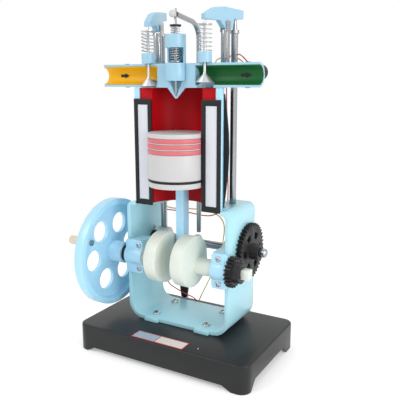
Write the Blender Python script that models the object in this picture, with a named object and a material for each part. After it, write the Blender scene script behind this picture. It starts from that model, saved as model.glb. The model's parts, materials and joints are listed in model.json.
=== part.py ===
"""Cut-away four-stroke engine model for the classroom. Metres, +Z up, the cut face looks along -Y."""
import math

import bmesh
import bpy
from mathutils import Vector

for old in list(bpy.data.objects):
    bpy.data.objects.remove(old, do_unlink=True)

# Driving sizes, measured from the centre of the base on the table
BASE_LENGTH = 0.230
BASE_WIDTH = 0.1395
BASE_HEIGHT = 0.033
ENGINE_X = -0.0025
AXIS_Y = -0.016
CRANK_Z = 0.115
CRANK_THROW = 0.0155
CRANK_REST = math.radians(50)
BORE_RADIUS = 0.0332
FRAME_TOP_Z = 0.183
HEAD_Z = 0.3187
GEAR_MODULE = 0.00162
CRANK_TEETH = 20
CAM_TEETH = 40
CAM_RISE = math.radians(14.5)
VALVE_OFFSET = 0.0367
ROD_OFFSET = 0.049
KNOB_END_X = -0.132
FLYWHEEL_RADIUS = 0.0673

# Clearances
GAP = 0.0003
RUN = 0.0006
OVER = 0.002

# Places that follow from the driving sizes
CENTRE_DISTANCE = GEAR_MODULE * (CRANK_TEETH + CAM_TEETH) / 2
CAM_Y = AXIS_Y + CENTRE_DISTANCE * math.cos(CAM_RISE)
CAM_Z = CRANK_Z + CENTRE_DISTANCE * math.sin(CAM_RISE)
PIN_Y = AXIS_Y + CRANK_THROW * math.sin(CRANK_REST)
PIN_Z = CRANK_Z - CRANK_THROW * math.cos(CRANK_REST)
SHIFT_X = -(KNOB_END_X + BASE_LENGTH / 2) / 2
SHIFT_Y = (FLYWHEEL_RADIUS - AXIS_Y - BASE_WIDTH / 2) / 2
CENTRE_SHIFT = Vector((SHIFT_X, SHIFT_Y, 0))

ROUND = 28
SMALL_ROUND = 12

assembly = bpy.data.objects.new("assembly_centre", None)
bpy.context.collection.objects.link(assembly)
assembly.location = CENTRE_SHIFT

finishes = {}


def finish(name, colour, roughness, metallic=0.0):
    """One plain material for each colour of plastic or metal."""
    if name not in finishes:
        material = bpy.data.materials.new(name)
        material.use_nodes = True
        shader = material.node_tree.nodes["Principled BSDF"]
        shader.inputs["Base Color"].default_value = (*colour, 1)
        shader.inputs["Roughness"].default_value = roughness
        shader.inputs["Metallic"].default_value = metallic
        finishes[name] = material
    return finishes[name]


BLUE = finish("blue_plastic", (0.32, 0.62, 0.78), 0.35)
BLACK = finish("black_plastic", (0.02, 0.02, 0.022), 0.45)
WHITE = finish("white_plastic", (0.74, 0.74, 0.72), 0.4)
RED = finish("red_plastic", (0.3, 0.01, 0.015), 0.4)
PINK = finish("ring_plastic", (0.7, 0.12, 0.14), 0.4)
YELLOW = finish("yellow_plastic", (0.75, 0.37, 0.02), 0.4)
GREEN = finish("green_plastic", (0.02, 0.16, 0.05), 0.4)
CHROME = finish("chrome", (0.75, 0.75, 0.75), 0.15, 1.0)
CREAM = finish("cream_plastic", (0.75, 0.68, 0.52), 0.4)


def put(name, mesh, material, pivot, parent):
    """Make the object of a mesh that was drawn in place, with its origin at the pivot."""
    point = Vector(pivot)
    for vertex in mesh.vertices:
        vertex.co -= point
    piece = bpy.data.objects.new(name, mesh)
    bpy.context.collection.objects.link(piece)
    piece.location = point
    piece.parent = parent
    mesh.materials.append(material)
    mesh.shade_smooth()
    mesh.set_sharp_from_angle(angle=math.radians(30))
    return piece


def closed_mesh(name, build):
    """A mesh from a bmesh builder, with its faces turned outwards."""
    work = bmesh.new()
    build(work)
    bmesh.ops.recalc_face_normals(work, faces=work.faces)
    mesh = bpy.data.meshes.new(name)
    work.to_mesh(mesh)
    work.free()
    return mesh


def shape(piece, kind, meshes):
    """Join meshes to a piece, or cut it with them."""
    for index, mesh in enumerate(meshes):
        tool = put(f"{piece.name}_{kind.lower()}_{index}", mesh, piece.data.materials[0], (0, 0, 0), assembly)
        tool.hide_render = True
        tool.display_type = "WIRE"
        modifier = piece.modifiers.new(tool.name, "BOOLEAN")
        modifier.operation = kind
        modifier.object = tool
        modifier.solver = "EXACT"


def solid(name, mesh, material, pivot=(0, 0, 0), cuts=(), joins=()):
    """A named piece; joins and cuts are meshes drawn in the same place."""
    piece = put(name, mesh, material, pivot, assembly)
    shape(piece, "UNION", joins)
    shape(piece, "DIFFERENCE", cuts)
    return piece


def loft(rings, closed=False):
    """Skin over rings of equally many points, capped at both ends unless the last meets the first."""
    def build(work):
        rows = [[work.verts.new(point) for point in ring] for ring in rings]
        pairs = list(zip(rows, rows[1:]))
        if closed:
            pairs.append((rows[-1], rows[0]))
        for low, high in pairs:
            for index in range(len(low)):
                after = (index + 1) % len(low)
                work.faces.new((low[index], low[after], high[after], high[index]))
        if not closed:
            work.faces.new(rows[0])
            work.faces.new(rows[-1])
    return closed_mesh("loft", build)


AXES = {"X": (1, 2, 0), "Y": (0, 2, 1), "Z": (0, 1, 2)}


def place(axis, centre, across, up, along):
    """The point at (across, up) from an axis through centre, at a coordinate along it."""
    first, second, third = AXES[axis]
    point = [0.0, 0.0, 0.0]
    point[first] = centre[0] + across
    point[second] = centre[1] + up
    point[third] = along
    return point


def circle(radius, sides=ROUND, start=0.0, turn=2 * math.pi, centre=(0, 0)):
    """Points of a circle, or of an arc with both its ends when turn is less than a full one."""
    full = abs(turn) > 2 * math.pi - 1e-6
    steps = sides if full else sides - 1
    return [(centre[0] + radius * math.cos(start + turn * i / steps),
             centre[1] + radius * math.sin(start + turn * i / steps)) for i in range(sides)]


def turned(axis, centre, profile, sides=ROUND, closed=False):
    """A round piece: profile holds (place along the axis, radius)."""
    return loft([[place(axis, centre, a, b, along) for a, b in circle(radius, sides)]
                 for along, radius in profile], closed)


def rod(axis, centre, low, high, radius, sides=SMALL_ROUND):
    return turned(axis, centre, [(low, radius), (high, radius)], sides)


def tube(axis, centre, low, high, outer, inner, sides=ROUND):
    return turned(axis, centre, [(low, outer), (high, outer), (high, inner), (low, inner)], sides, True)


def prism(axis, outline, low, high, centre=(0, 0)):
    """An outline drawn across the axis and drawn out along it."""
    return loft([[place(axis, centre, a, b, along) for a, b in outline] for along in (low, high)])


def box(low, high):
    return prism("Z", [(low[0], low[1]), (high[0], low[1]), (high[0], high[1]), (low[0], high[1])],
                 low[2], high[2])


def rounded(low, high, radii, sides=6):
    """A rectangle with a radius for each corner: low-left, low-right, high-right, high-left."""
    corners = ((low[0], low[1], 1, 1, math.pi), (high[0], low[1], -1, 1, -math.pi / 2),
               (high[0], high[1], -1, -1, 0.0), (low[0], high[1], 1, -1, math.pi / 2))
    points = []
    for (x, y, toward_x, toward_y, start), radius in zip(corners, radii):
        points += circle(radius, sides, start, math.pi / 2, (x + toward_x * radius, y + toward_y * radius))
    return points


def plate(axis, outlines, low, high, centre=(0, 0)):
    """A flat piece with holes: the first outline is its rim and the others are its holes."""
    def build(work):
        edges = []
        for outline in outlines:
            row = [work.verts.new(place(axis, centre, a, b, low)) for a, b in outline]
            edges += [work.edges.new((row[i], row[(i + 1) % len(row)])) for i in range(len(row))]
        bmesh.ops.triangle_fill(work, use_beauty=True, use_dissolve=False, edges=edges)
        made = bmesh.ops.extrude_face_region(work, geom=list(work.faces))
        rise = [0.0, 0.0, 0.0]
        rise[AXES[axis][2]] = high - low
        bmesh.ops.translate(work, vec=rise, verts=[v for v in made["geom"] if isinstance(v, bmesh.types.BMVert)])
    return closed_mesh("plate", build)


def curve_piece(name, points, radius, material, pivot=(0, 0, 0), sides=1, cyclic=False):
    """A round wire along points, with closed ends."""
    data = bpy.data.curves.new(name, "CURVE")
    data.dimensions = "3D"
    data.bevel_depth = radius
    data.bevel_resolution = sides
    data.use_fill_caps = True
    spline = data.splines.new("POLY")
    spline.points.add(len(points) - 1)
    for slot, point in zip(spline.points, points):
        slot.co = (*(Vector(point) - Vector(pivot)), 1)
    spline.use_cyclic_u = cyclic
    piece = bpy.data.objects.new(name, data)
    bpy.context.collection.objects.link(piece)
    piece.location = pivot
    piece.parent = assembly
    data.materials.append(material)
    return piece


# Base: a black moulding, hollow below, on four corner feet
BASE_CORNER = 0.012
BASE_INNER_CORNER = 0.026
BASE_FILLET = 0.0016
BASE_WALL = 0.004
BASE_FOOT_LEFT = 0.014
BASE_FOOT_RIGHT = 0.019
BASE_FOOT_FRONT = 0.0118
BASE_FOOT_BACK = 0.0238
BASE_FOOT_SLANT = 0.011
FRONT_ARCH_HEIGHT = 0.0055
SIDE_ARCH_HEIGHT = 0.0108
FILLET_SHARES = ((0, 0), (0.5, 0.13), (0.87, 0.5), (1, 1))


def make_base():
    half_x, half_y = BASE_LENGTH / 2, BASE_WIDTH / 2
    rings = [[(a, b, 0) for a, b in rounded((-half_x, -half_y), (half_x, half_y), [BASE_CORNER] * 4)]]
    for rise_share, inset_share in FILLET_SHARES:
        inset = inset_share * BASE_FILLET
        outline = rounded((inset - half_x, inset - half_y), (half_x - inset, half_y - inset),
                          [BASE_CORNER - inset] * 4)
        level = BASE_HEIGHT - BASE_FILLET + rise_share * BASE_FILLET
        rings.append([(a, b, level) for a, b in outline])
    inner_x, inner_y = half_x - BASE_WALL, half_y - BASE_WALL
    hollow = prism("Z", rounded((-inner_x, -inner_y), (inner_x, inner_y), [BASE_INNER_CORNER] * 4),
                   -OVER, BASE_HEIGHT - BASE_WALL)
    left, right = BASE_FOOT_LEFT - half_x, half_x - BASE_FOOT_RIGHT
    front_arch = prism("Y", [(left, -OVER), (left, 0), (left + BASE_FOOT_SLANT, FRONT_ARCH_HEIGHT),
                             (right - BASE_FOOT_SLANT, FRONT_ARCH_HEIGHT), (right, 0), (right, -OVER)],
                       -half_y - OVER, half_y + OVER)
    near, far = BASE_FOOT_FRONT - half_y, half_y - BASE_FOOT_BACK
    side_arch = prism("X", [(near, -OVER), (near, 0), (near + BASE_FOOT_SLANT, SIDE_ARCH_HEIGHT),
                            (far - BASE_FOOT_SLANT, SIDE_ARCH_HEIGHT), (far, 0), (far, -OVER)],
                      -half_x - OVER, half_x + OVER)
    solid("base", loft(rings), BLACK, cuts=(hollow, front_arch, side_arch))


# Crankcase frame: one light-blue band, open at the front and back, with bearing pedestals
FRAME_LEFT = -0.073
FRAME_RIGHT = 0.0667
FRAME_FRONT = -0.019
FRAME_BACK = 0.052
FRAME_WALL = 0.0045
FRAME_FOOT_RADIUS = 0.020
FRAME_TOP_RADIUS = 0.009
FRAME_THROAT = 0.036
GATE_HALF = 0.0580
GATE_BACK = 0.0
FRAME_BOTTOM = BASE_HEIGHT + GAP
TAB_WIDTH = 0.019
TAB_REACH = 0.004
TAB_OFFSET = 0.0355
JOURNAL_RADIUS = 0.0100
LEFT_CAP_WIDTH = 0.0245
RIGHT_CAP_WIDTH = 0.0197
CAP_HALF_HEIGHT = 0.0210
PEDESTAL_BACK = 0.0
SHAFT_RADIUS = 0.005
GUIDE_RADIUS = 0.0040


def make_frame():
    radii = [FRAME_FOOT_RADIUS] * 2 + [FRAME_TOP_RADIUS] * 2
    outer = rounded((FRAME_LEFT, FRAME_BOTTOM), (FRAME_RIGHT, FRAME_TOP_Z), radii)
    inner = rounded((FRAME_LEFT + FRAME_WALL, FRAME_BOTTOM + FRAME_WALL),
                    (FRAME_RIGHT - FRAME_WALL, FRAME_TOP_Z - FRAME_WALL), [r - FRAME_WALL for r in radii])
    band = prism("Y", outer, FRAME_FRONT, FRAME_BACK)
    tabs = [box((ENGINE_X + side * TAB_OFFSET - TAB_WIDTH / 2, FRAME_FRONT - TAB_REACH, FRAME_BOTTOM),
                (ENGINE_X + side * TAB_OFFSET + TAB_WIDTH / 2, FRAME_FRONT + FRAME_WALL,
                 FRAME_BOTTOM + FRAME_WALL - GAP)) for side in (-1, 1)]
    low, high = CRANK_Z - CAP_HALF_HEIGHT, CRANK_Z + CAP_HALF_HEIGHT
    pedestals = [box((FRAME_LEFT + GAP, FRAME_FRONT + GAP, low),
                     (FRAME_LEFT + LEFT_CAP_WIDTH, PEDESTAL_BACK, high)),
                 box((FRAME_RIGHT - RIGHT_CAP_WIDTH, FRAME_FRONT + GAP, low),
                     (FRAME_RIGHT - GAP, PEDESTAL_BACK, high))]
    hollow = prism("Y", inner, FRAME_FRONT - OVER, FRAME_BACK + OVER)
    throat = box((ENGINE_X - FRAME_THROAT, FRAME_FRONT - OVER, FRAME_TOP_Z - 2 * FRAME_WALL),
                 (ENGINE_X + FRAME_THROAT, FRAME_BACK + OVER, FRAME_TOP_Z + OVER))
    gate = box((ENGINE_X - GATE_HALF, FRAME_FRONT - OVER, FRAME_TOP_Z - 2 * FRAME_WALL),
               (ENGINE_X + GATE_HALF, GATE_BACK, FRAME_TOP_Z + OVER))
    journal = rod("X", (AXIS_Y, CRANK_Z), FRAME_LEFT - OVER, FRAME_RIGHT + OVER, JOURNAL_RADIUS + GAP, ROUND)
    notch_half = JOURNAL_RADIUS + GAP
    notch = box((FRAME_LEFT - OVER, FRAME_FRONT - OVER, CRANK_Z - notch_half),
                (FRAME_RIGHT + OVER, AXIS_Y, CRANK_Z + notch_half))
    shaft = rod("X", (CAM_Y, CAM_Z), FRAME_LEFT - OVER, FRAME_RIGHT + OVER, SHAFT_RADIUS + GAP)
    guides = [rod("Z", (ENGINE_X + side * ROD_OFFSET, CAM_Y), FRAME_TOP_Z - 2 * FRAME_WALL,
                  FRAME_TOP_Z + OVER, GUIDE_RADIUS + GAP) for side in (-1, 1)]
    frame = solid("crankcase_frame", band, BLUE, cuts=(hollow,))
    shape(frame, "UNION", tabs + pedestals)
    shape(frame, "DIFFERENCE", [throat, gate, journal, notch, shaft] + guides)


# Bearing caps: flanged half-round caps that close the crankshaft bearings in front
CAP_FLANGE = 0.004
CAP_BULGE_RADIUS = 0.0124
CAP_CORNER = 0.0045
CORNER_SIDES = 6


def cap_outline():
    back = FRAME_FRONT - GAP
    front = back - CAP_FLANGE
    bore = JOURNAL_RADIUS + GAP
    meets = math.acos((AXIS_Y - front) / CAP_BULGE_RADIUS)
    inside = math.acos((AXIS_Y - back) / bore)
    bulge = circle(CAP_BULGE_RADIUS, SMALL_ROUND, math.pi + meets, -2 * meets, (AXIS_Y, CRANK_Z))
    hollow = circle(bore, SMALL_ROUND, math.pi - inside, 2 * inside, (AXIS_Y, CRANK_Z))
    low, high = CRANK_Z - CAP_HALF_HEIGHT, CRANK_Z + CAP_HALF_HEIGHT
    return [(back, low), (front, low)] + bulge + [(front, high), (back, high)] + hollow


def make_caps():
    for name, low, high in (("left_bearing_cap", FRAME_LEFT, FRAME_LEFT + LEFT_CAP_WIDTH),
                            ("right_bearing_cap", FRAME_RIGHT - RIGHT_CAP_WIDTH, FRAME_RIGHT)):
        sheath = [(low - OVER, CRANK_Z - CAP_HALF_HEIGHT - OVER), (high + OVER, CRANK_Z - CAP_HALF_HEIGHT - OVER),
                  (high + OVER, CRANK_Z + CAP_HALF_HEIGHT + OVER), (low - OVER, CRANK_Z + CAP_HALF_HEIGHT + OVER)]
        kept = rounded((low - GAP, CRANK_Z - CAP_HALF_HEIGHT - GAP), (high + GAP, CRANK_Z + CAP_HALF_HEIGHT + GAP),
                       [CAP_CORNER] * 4, CORNER_SIDES)
        corners = plate("Y", [sheath, kept], FRAME_FRONT - 2 * CAP_BULGE_RADIUS, FRAME_FRONT)
        solid(name, prism("X", cap_outline(), low, high), BLUE, cuts=(corners,))


# Cylinder: light-blue block, red liner, black section strips with white panels, black jacket behind
LINER_RADIUS = 0.046
LINER_SHARE = 1.09
BLOCK_RADIUS = 0.0566
BLOCK_SHARE = 0.945
FLANGE_DEPTH = 0.003
LINER_RECESS = 0.0012
CYLINDER_FOOT_Z = FRAME_TOP_Z + GAP
CYLINDER_TOP_Z = HEAD_Z - GAP
STRIP_INNER = 0.0334
STRIP_OUTER = 0.0574
STRIP_DROP = 0.0026
STRIP_TOP_Z = 0.3060
STRIP_THICKNESS = 0.0016
STRIP_BORDER = 0.0048
STRIP_END_BORDER = 0.0063
PANEL_SINK = 0.0008
JACKET_RADIUS = 0.0577
JACKET_SETBACK = 0.020
JACKET_BELLY = 0.0605
JACKET_TOP_Z = 0.312
JACKET_STEPS = 6
PUMP_ROD_RADIUS = 0.0029
PUMP_ROD_DISTANCE = 0.0515
PUMP_ROD_Y = AXIS_Y + PUMP_ROD_DISTANCE
STRIP_SEAT_Y = AXIS_Y - GAP
STRIP_FOOT_Z = CYLINDER_FOOT_Z - STRIP_DROP


def half_arc(radius, front_y, share=1.0):
    """An arc round the cylinder's axis behind a plane across it, from right to left, its width a share."""
    start = math.asin((front_y - AXIS_Y) / radius)
    points = circle(radius, ROUND, start, math.pi - 2 * start, (ENGINE_X, AXIS_Y))
    return [(ENGINE_X + (x - ENGINE_X) * share, y) for x, y in points]


def half_ring(inner, outer, front_y, inner_share=1.0, outer_share=1.0):
    """A ring's section behind a plane across it."""
    return half_arc(outer, front_y, outer_share) + half_arc(inner, front_y, inner_share)[::-1]


def make_cylinder():
    channel = rod("Z", (ENGINE_X, PUMP_ROD_Y), CYLINDER_FOOT_Z - OVER, CYLINDER_TOP_Z + OVER,
                  PUMP_ROD_RADIUS + GAP)
    back = AXIS_Y + FLANGE_DEPTH
    sides = ((1, AXIS_Y), (1, back), (-1, back), (-1, AXIS_Y))
    corners = [(ENGINE_X + side * STRIP_OUTER, y) for side, y in sides]
    block = corners[:2] + half_arc(BLOCK_RADIUS, back, BLOCK_SHARE) + corners[2:]
    block += half_arc(LINER_RADIUS + GAP, AXIS_Y, LINER_SHARE)[::-1]
    solid("cylinder_block", prism("Z", block, CYLINDER_FOOT_Z, CYLINDER_TOP_Z), BLUE, cuts=(channel,))
    solid("cylinder_liner", prism("Z", half_ring(BORE_RADIUS, LINER_RADIUS, AXIS_Y + LINER_RECESS, 1.0,
                                                 LINER_SHARE), CYLINDER_FOOT_Z, CYLINDER_TOP_Z), RED)
    front = STRIP_SEAT_Y - STRIP_THICKNESS
    for side, word in ((-1, "left"), (1, "right")):
        edges = sorted((ENGINE_X + side * STRIP_INNER, ENGINE_X + side * STRIP_OUTER))
        rim = [(edges[0], STRIP_FOOT_Z), (edges[1], STRIP_FOOT_Z),
               (edges[1], STRIP_TOP_Z), (edges[0], STRIP_TOP_Z)]
        window = [(edges[0] + STRIP_BORDER, STRIP_FOOT_Z + STRIP_END_BORDER),
                  (edges[1] - STRIP_BORDER, STRIP_FOOT_Z + STRIP_END_BORDER),
                  (edges[1] - STRIP_BORDER, STRIP_TOP_Z - STRIP_END_BORDER),
                  (edges[0] + STRIP_BORDER, STRIP_TOP_Z - STRIP_END_BORDER)]
        solid(f"{word}_section_frame", plate("Y", [rim, window], front, STRIP_SEAT_Y), BLACK)
        solid(f"{word}_section_panel",
              box((window[0][0] + GAP, front + PANEL_SINK, window[0][1] + GAP),
                  (window[2][0] - GAP, STRIP_SEAT_Y, window[2][1] - GAP)), WHITE)


def make_jacket():
    rings = []
    foot, top = CYLINDER_FOOT_Z, JACKET_TOP_Z
    for step in range(JACKET_STEPS + 1):
        share = step / JACKET_STEPS
        belly = math.sin(math.pi * share)
        outer = JACKET_RADIUS + (JACKET_BELLY - JACKET_RADIUS) * belly
        wide = BLOCK_SHARE + (1 - BLOCK_SHARE) * belly
        level = foot + (top - foot) * share
        rings.append([(a, b, level) for a, b in half_ring(BLOCK_RADIUS + GAP, outer, AXIS_Y + JACKET_SETBACK,
                                                          BLOCK_SHARE, wide)])
    solid("rear_jacket", loft(rings), BLACK)


# Cylinder head: a half disc over the bore with half pipes to the left and right
HEAD_LEFT = -0.104
HEAD_RIGHT = 0.0989
PIPE_HEIGHT = 0.0135
PIPE_OUTER = 0.0129
PIPE_INNER = 0.0104
HEAD_CREST = 0.0002
PIPE_Z = HEAD_Z + PIPE_HEIGHT
HEAD_TOP_Z = PIPE_Z + PIPE_OUTER + HEAD_CREST
LINING_WALL = 0.0012
LEFT_PORT_END = -0.0273
RIGHT_PORT_START = 0.0224
HEAD_RADIUS = 0.0570
NOZZLE_RADIUS = 0.0132
NOZZLE_DEPTH = 0.0119
NOZZLE_TIP_Z = HEAD_Z - NOZZLE_DEPTH
NOZZLE_TIP_RADIUS = 0.0012
NOZZLE_HOLLOW_RADIUS = 0.0075
VALVE_RADIUS = 0.0100
VALVE_HEIGHT = 0.0088
VALVE_SEAT_HEIGHT = 0.0059
VALVE_CLOSED_Z = HEAD_Z + VALVE_SEAT_HEIGHT
INTAKE_REST_LIFT = 0.0044
STEM_RADIUS = 0.0015
STEM_NECK_RADIUS = 0.0022
VALVE_Y = AXIS_Y
SEAT_CLEARANCE = 0.0007
GUIDE_SHELL_RADIUS = 0.0078
GUIDE_HEIGHT = 0.0112
GUIDE_FLOOR_Z = HEAD_TOP_Z + GAP
INJECTOR_RADIUS = 0.0115
INJECTOR_BORE = 0.0094
WINDOW_HEIGHT = 0.0163
INJECTOR_CAP = 0.0142
INJECTOR_WINDOW_Z = GUIDE_FLOOR_Z + WINDOW_HEIGHT
INJECTOR_TOP_Z = INJECTOR_WINDOW_Z + INJECTOR_CAP
INJECTOR_NOSE_RADIUS = 0.0120
INJECTOR_NOSE_HEIGHT = 0.0075
INJECTOR_NOSE_Z = HEAD_Z + INJECTOR_NOSE_HEIGHT
DECK_EDGE = 0.009
DECK_HALF_LENGTH = ROD_OFFSET + DECK_EDGE
DECK_FRONT = 0.0
DECK_BACK = 0.040
DECK_THICKNESS = 0.010
NEEDLE_RADIUS = 0.0015
THREAD_RADIUS = 0.0021
INTAKE_X = ENGINE_X - VALVE_OFFSET
EXHAUST_X = ENGINE_X + VALVE_OFFSET


def half_disc(radius, front_y, sides=ROUND):
    back = math.asin((front_y - AXIS_Y) / radius)
    return circle(radius, sides, back, math.pi - 2 * back, (ENGINE_X, AXIS_Y))


def valve_cut(x):
    """A cutter for a valve's cone, its stem and the space that they travel in."""
    radius = VALVE_RADIUS + SEAT_CLEARANCE
    neck = STEM_NECK_RADIUS + RUN
    return [turned("Z", (x, VALVE_Y), [(HEAD_Z - OVER, radius), (VALVE_CLOSED_Z + GAP, radius),
                                       (VALVE_CLOSED_Z + GAP + VALVE_HEIGHT, neck),
                                       (HEAD_TOP_Z + OVER, neck)], SMALL_ROUND)]


def make_head():
    disc = prism("Z", half_disc(HEAD_RADIUS, AXIS_Y), HEAD_Z, HEAD_TOP_Z)
    pipe = rod("X", (AXIS_Y, PIPE_Z), HEAD_LEFT, HEAD_RIGHT, PIPE_OUTER, ROUND)
    front = box((HEAD_LEFT - OVER, AXIS_Y - BASE_HEIGHT, NOZZLE_TIP_Z - OVER),
                (HEAD_RIGHT + OVER, AXIS_Y, HEAD_TOP_Z + BASE_HEIGHT))
    nozzle = turned("Z", (ENGINE_X, AXIS_Y), [(NOZZLE_TIP_Z, NOZZLE_TIP_RADIUS),
                                              (HEAD_Z + OVER, NOZZLE_RADIUS)], SMALL_ROUND)
    left_bore = rod("X", (AXIS_Y, PIPE_Z), HEAD_LEFT - OVER, LEFT_PORT_END, PIPE_INNER, ROUND)
    right_bore = rod("X", (AXIS_Y, PIPE_Z), RIGHT_PORT_START, HEAD_RIGHT + OVER, PIPE_INNER, ROUND)
    injector_hole = turned("Z", (ENGINE_X, AXIS_Y),
                           [(NEEDLE_TIP_Z - RUN, NEEDLE_TIP_RADIUS + GAP),
                            (NEEDLE_TIP_Z + NEEDLE_POINT_LENGTH - RUN, NEEDLE_RADIUS + RUN),
                            (INJECTOR_NOSE_Z - OVER, NOZZLE_HOLLOW_RADIUS),
                            (INJECTOR_NOSE_Z - GAP, NOZZLE_HOLLOW_RADIUS),
                            (INJECTOR_NOSE_Z - GAP, INJECTOR_NOSE_RADIUS + GAP),
                            (HEAD_TOP_Z + OVER, INJECTOR_NOSE_RADIUS + GAP)], ROUND)
    pump_hole = rod("Z", (ENGINE_X, PUMP_ROD_Y), HEAD_Z - OVER, HEAD_TOP_Z + OVER, PUMP_ROD_RADIUS + GAP)
    guides = [rod("Z", (ENGINE_X + side * ROD_OFFSET, CAM_Y), HEAD_Z - OVER, HEAD_TOP_Z + OVER,
                  GUIDE_RADIUS + GAP) for side in (-1, 1)]
    cuts = [front, left_bore, right_bore, injector_hole, pump_hole] + guides
    cuts += valve_cut(INTAKE_X) + valve_cut(EXHAUST_X)
    deck = box((ENGINE_X - DECK_HALF_LENGTH, DECK_FRONT, HEAD_TOP_Z - DECK_THICKNESS),
               (ENGINE_X + DECK_HALF_LENGTH, DECK_BACK, HEAD_TOP_Z))
    solid("cylinder_head", disc, BLUE, joins=(pipe, nozzle, deck), cuts=cuts)


def make_ports():
    """The coloured linings of the half pipes, cut open where the valve passes."""
    for name, material, low, high, x in (
            ("intake_port", YELLOW, HEAD_LEFT, LEFT_PORT_END - GAP, INTAKE_X),
            ("exhaust_port", GREEN, RIGHT_PORT_START + GAP, HEAD_RIGHT, EXHAUST_X)):
        outer, inner = PIPE_INNER - GAP, PIPE_INNER - LINING_WALL
        section = (circle(outer, SMALL_ROUND, -math.pi / 2, math.pi, (AXIS_Y, PIPE_Z))
                   + circle(inner, SMALL_ROUND, math.pi / 2, -math.pi, (AXIS_Y, PIPE_Z)))
        solid(name, prism("X", section, low, high), material,
              cuts=valve_cut(x))


def make_guides_and_injector():
    for name, x in (("intake_valve_guide", INTAKE_X), ("exhaust_valve_guide", EXHAUST_X)):
        solid(name, tube("Z", (x, VALVE_Y), GUIDE_FLOOR_Z, GUIDE_FLOOR_Z + GUIDE_HEIGHT,
                         GUIDE_SHELL_RADIUS, STEM_RADIUS + RUN, SMALL_ROUND), BLUE)
    centre = (ENGINE_X, AXIS_Y)
    hole = NEEDLE_RADIUS + RUN
    top_hole = THREAD_RADIUS + RUN
    outline = [(INJECTOR_NOSE_Z, INJECTOR_NOSE_RADIUS), (GUIDE_FLOOR_Z, INJECTOR_NOSE_RADIUS),
               (GUIDE_FLOOR_Z, INJECTOR_RADIUS), (INJECTOR_TOP_Z, INJECTOR_RADIUS), (INJECTOR_TOP_Z, top_hole),
               (INJECTOR_WINDOW_Z, top_hole), (INJECTOR_WINDOW_Z, INJECTOR_BORE),
               (GUIDE_FLOOR_Z, INJECTOR_BORE), (GUIDE_FLOOR_Z, hole), (INJECTOR_NOSE_Z, hole)]
    window = box((ENGINE_X - 2 * INJECTOR_RADIUS, AXIS_Y - 2 * INJECTOR_RADIUS, GUIDE_FLOOR_Z),
                 (ENGINE_X + 2 * INJECTOR_RADIUS, AXIS_Y, INJECTOR_WINDOW_Z))
    solid("injector_body", turned("Z", centre, outline, ROUND, True), BLUE, cuts=(window,))


# Crankshaft: two webs with journals, a pin, the flywheel with its handle, and the crank gear
WEB_RADIUS = 0.030
WEB_OFFSET = 0.0110
LEFT_WEB_INNER = 0.0075
RIGHT_WEB_INNER = 0.0132
WEB_THICKNESS = 0.0152
NARROW_JOURNAL_RADIUS = 0.0072
PIN_RADIUS = 0.005
PIN_BOSS_RADIUS = 0.0056
PIN_BOSS_LENGTH = 0.0075
DOWEL_RADIUS = 0.0022
DOWEL_LENGTH = 0.009
GEAR_X = FRAME_RIGHT + RUN
GEAR_WIDTH = 0.0077
GEAR_BOSS_RADIUS = 0.012
GEAR_BOSS_END = 0.0828
SQUARE_SIDE = 0.0105
SQUARE_END = 0.0926
NECK_RADIUS = 0.005
FLYWHEEL_RIM = 0.0600
FLYWHEEL_OUT = -0.104
FLYWHEEL_IN = -0.0923
FLYWHEEL_WEB = 0.0045
FLYWHEEL_HOLE = 0.0132
FLYWHEEL_PITCH = 0.0365
FLYWHEEL_HOLES = 6
FLYWHEEL_TURN = math.radians(7)
HUB_RADIUS = 0.0132
HUB_END = -0.0785
HANDLE_RADIUS = 0.0455
HANDLE_ANGLE = math.radians(154)
SPINDLE_RADIUS = 0.002
SPINDLE_HEAD = 0.0036
SPINDLE_HEAD_HEIGHT = 0.0016
KNOB_RADIUS = 0.0055
KNOB_WALL = 0.002
HANDLE_Y = AXIS_Y + HANDLE_RADIUS * math.cos(HANDLE_ANGLE)
HANDLE_Z = CRANK_Z + HANDLE_RADIUS * math.sin(HANDLE_ANGLE)
CRANK_AXIS = (AXIS_Y, CRANK_Z)
CRANK_PIVOT = (ENGINE_X, AXIS_Y, CRANK_Z)
DOWEL_Y = (AXIS_Y + PIN_Y) / 2
DOWEL_Z = (CRANK_Z + PIN_Z) / 2
WEB_Y = AXIS_Y - WEB_OFFSET * math.sin(CRANK_REST)
WEB_Z = CRANK_Z + WEB_OFFSET * math.cos(CRANK_REST)


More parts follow.
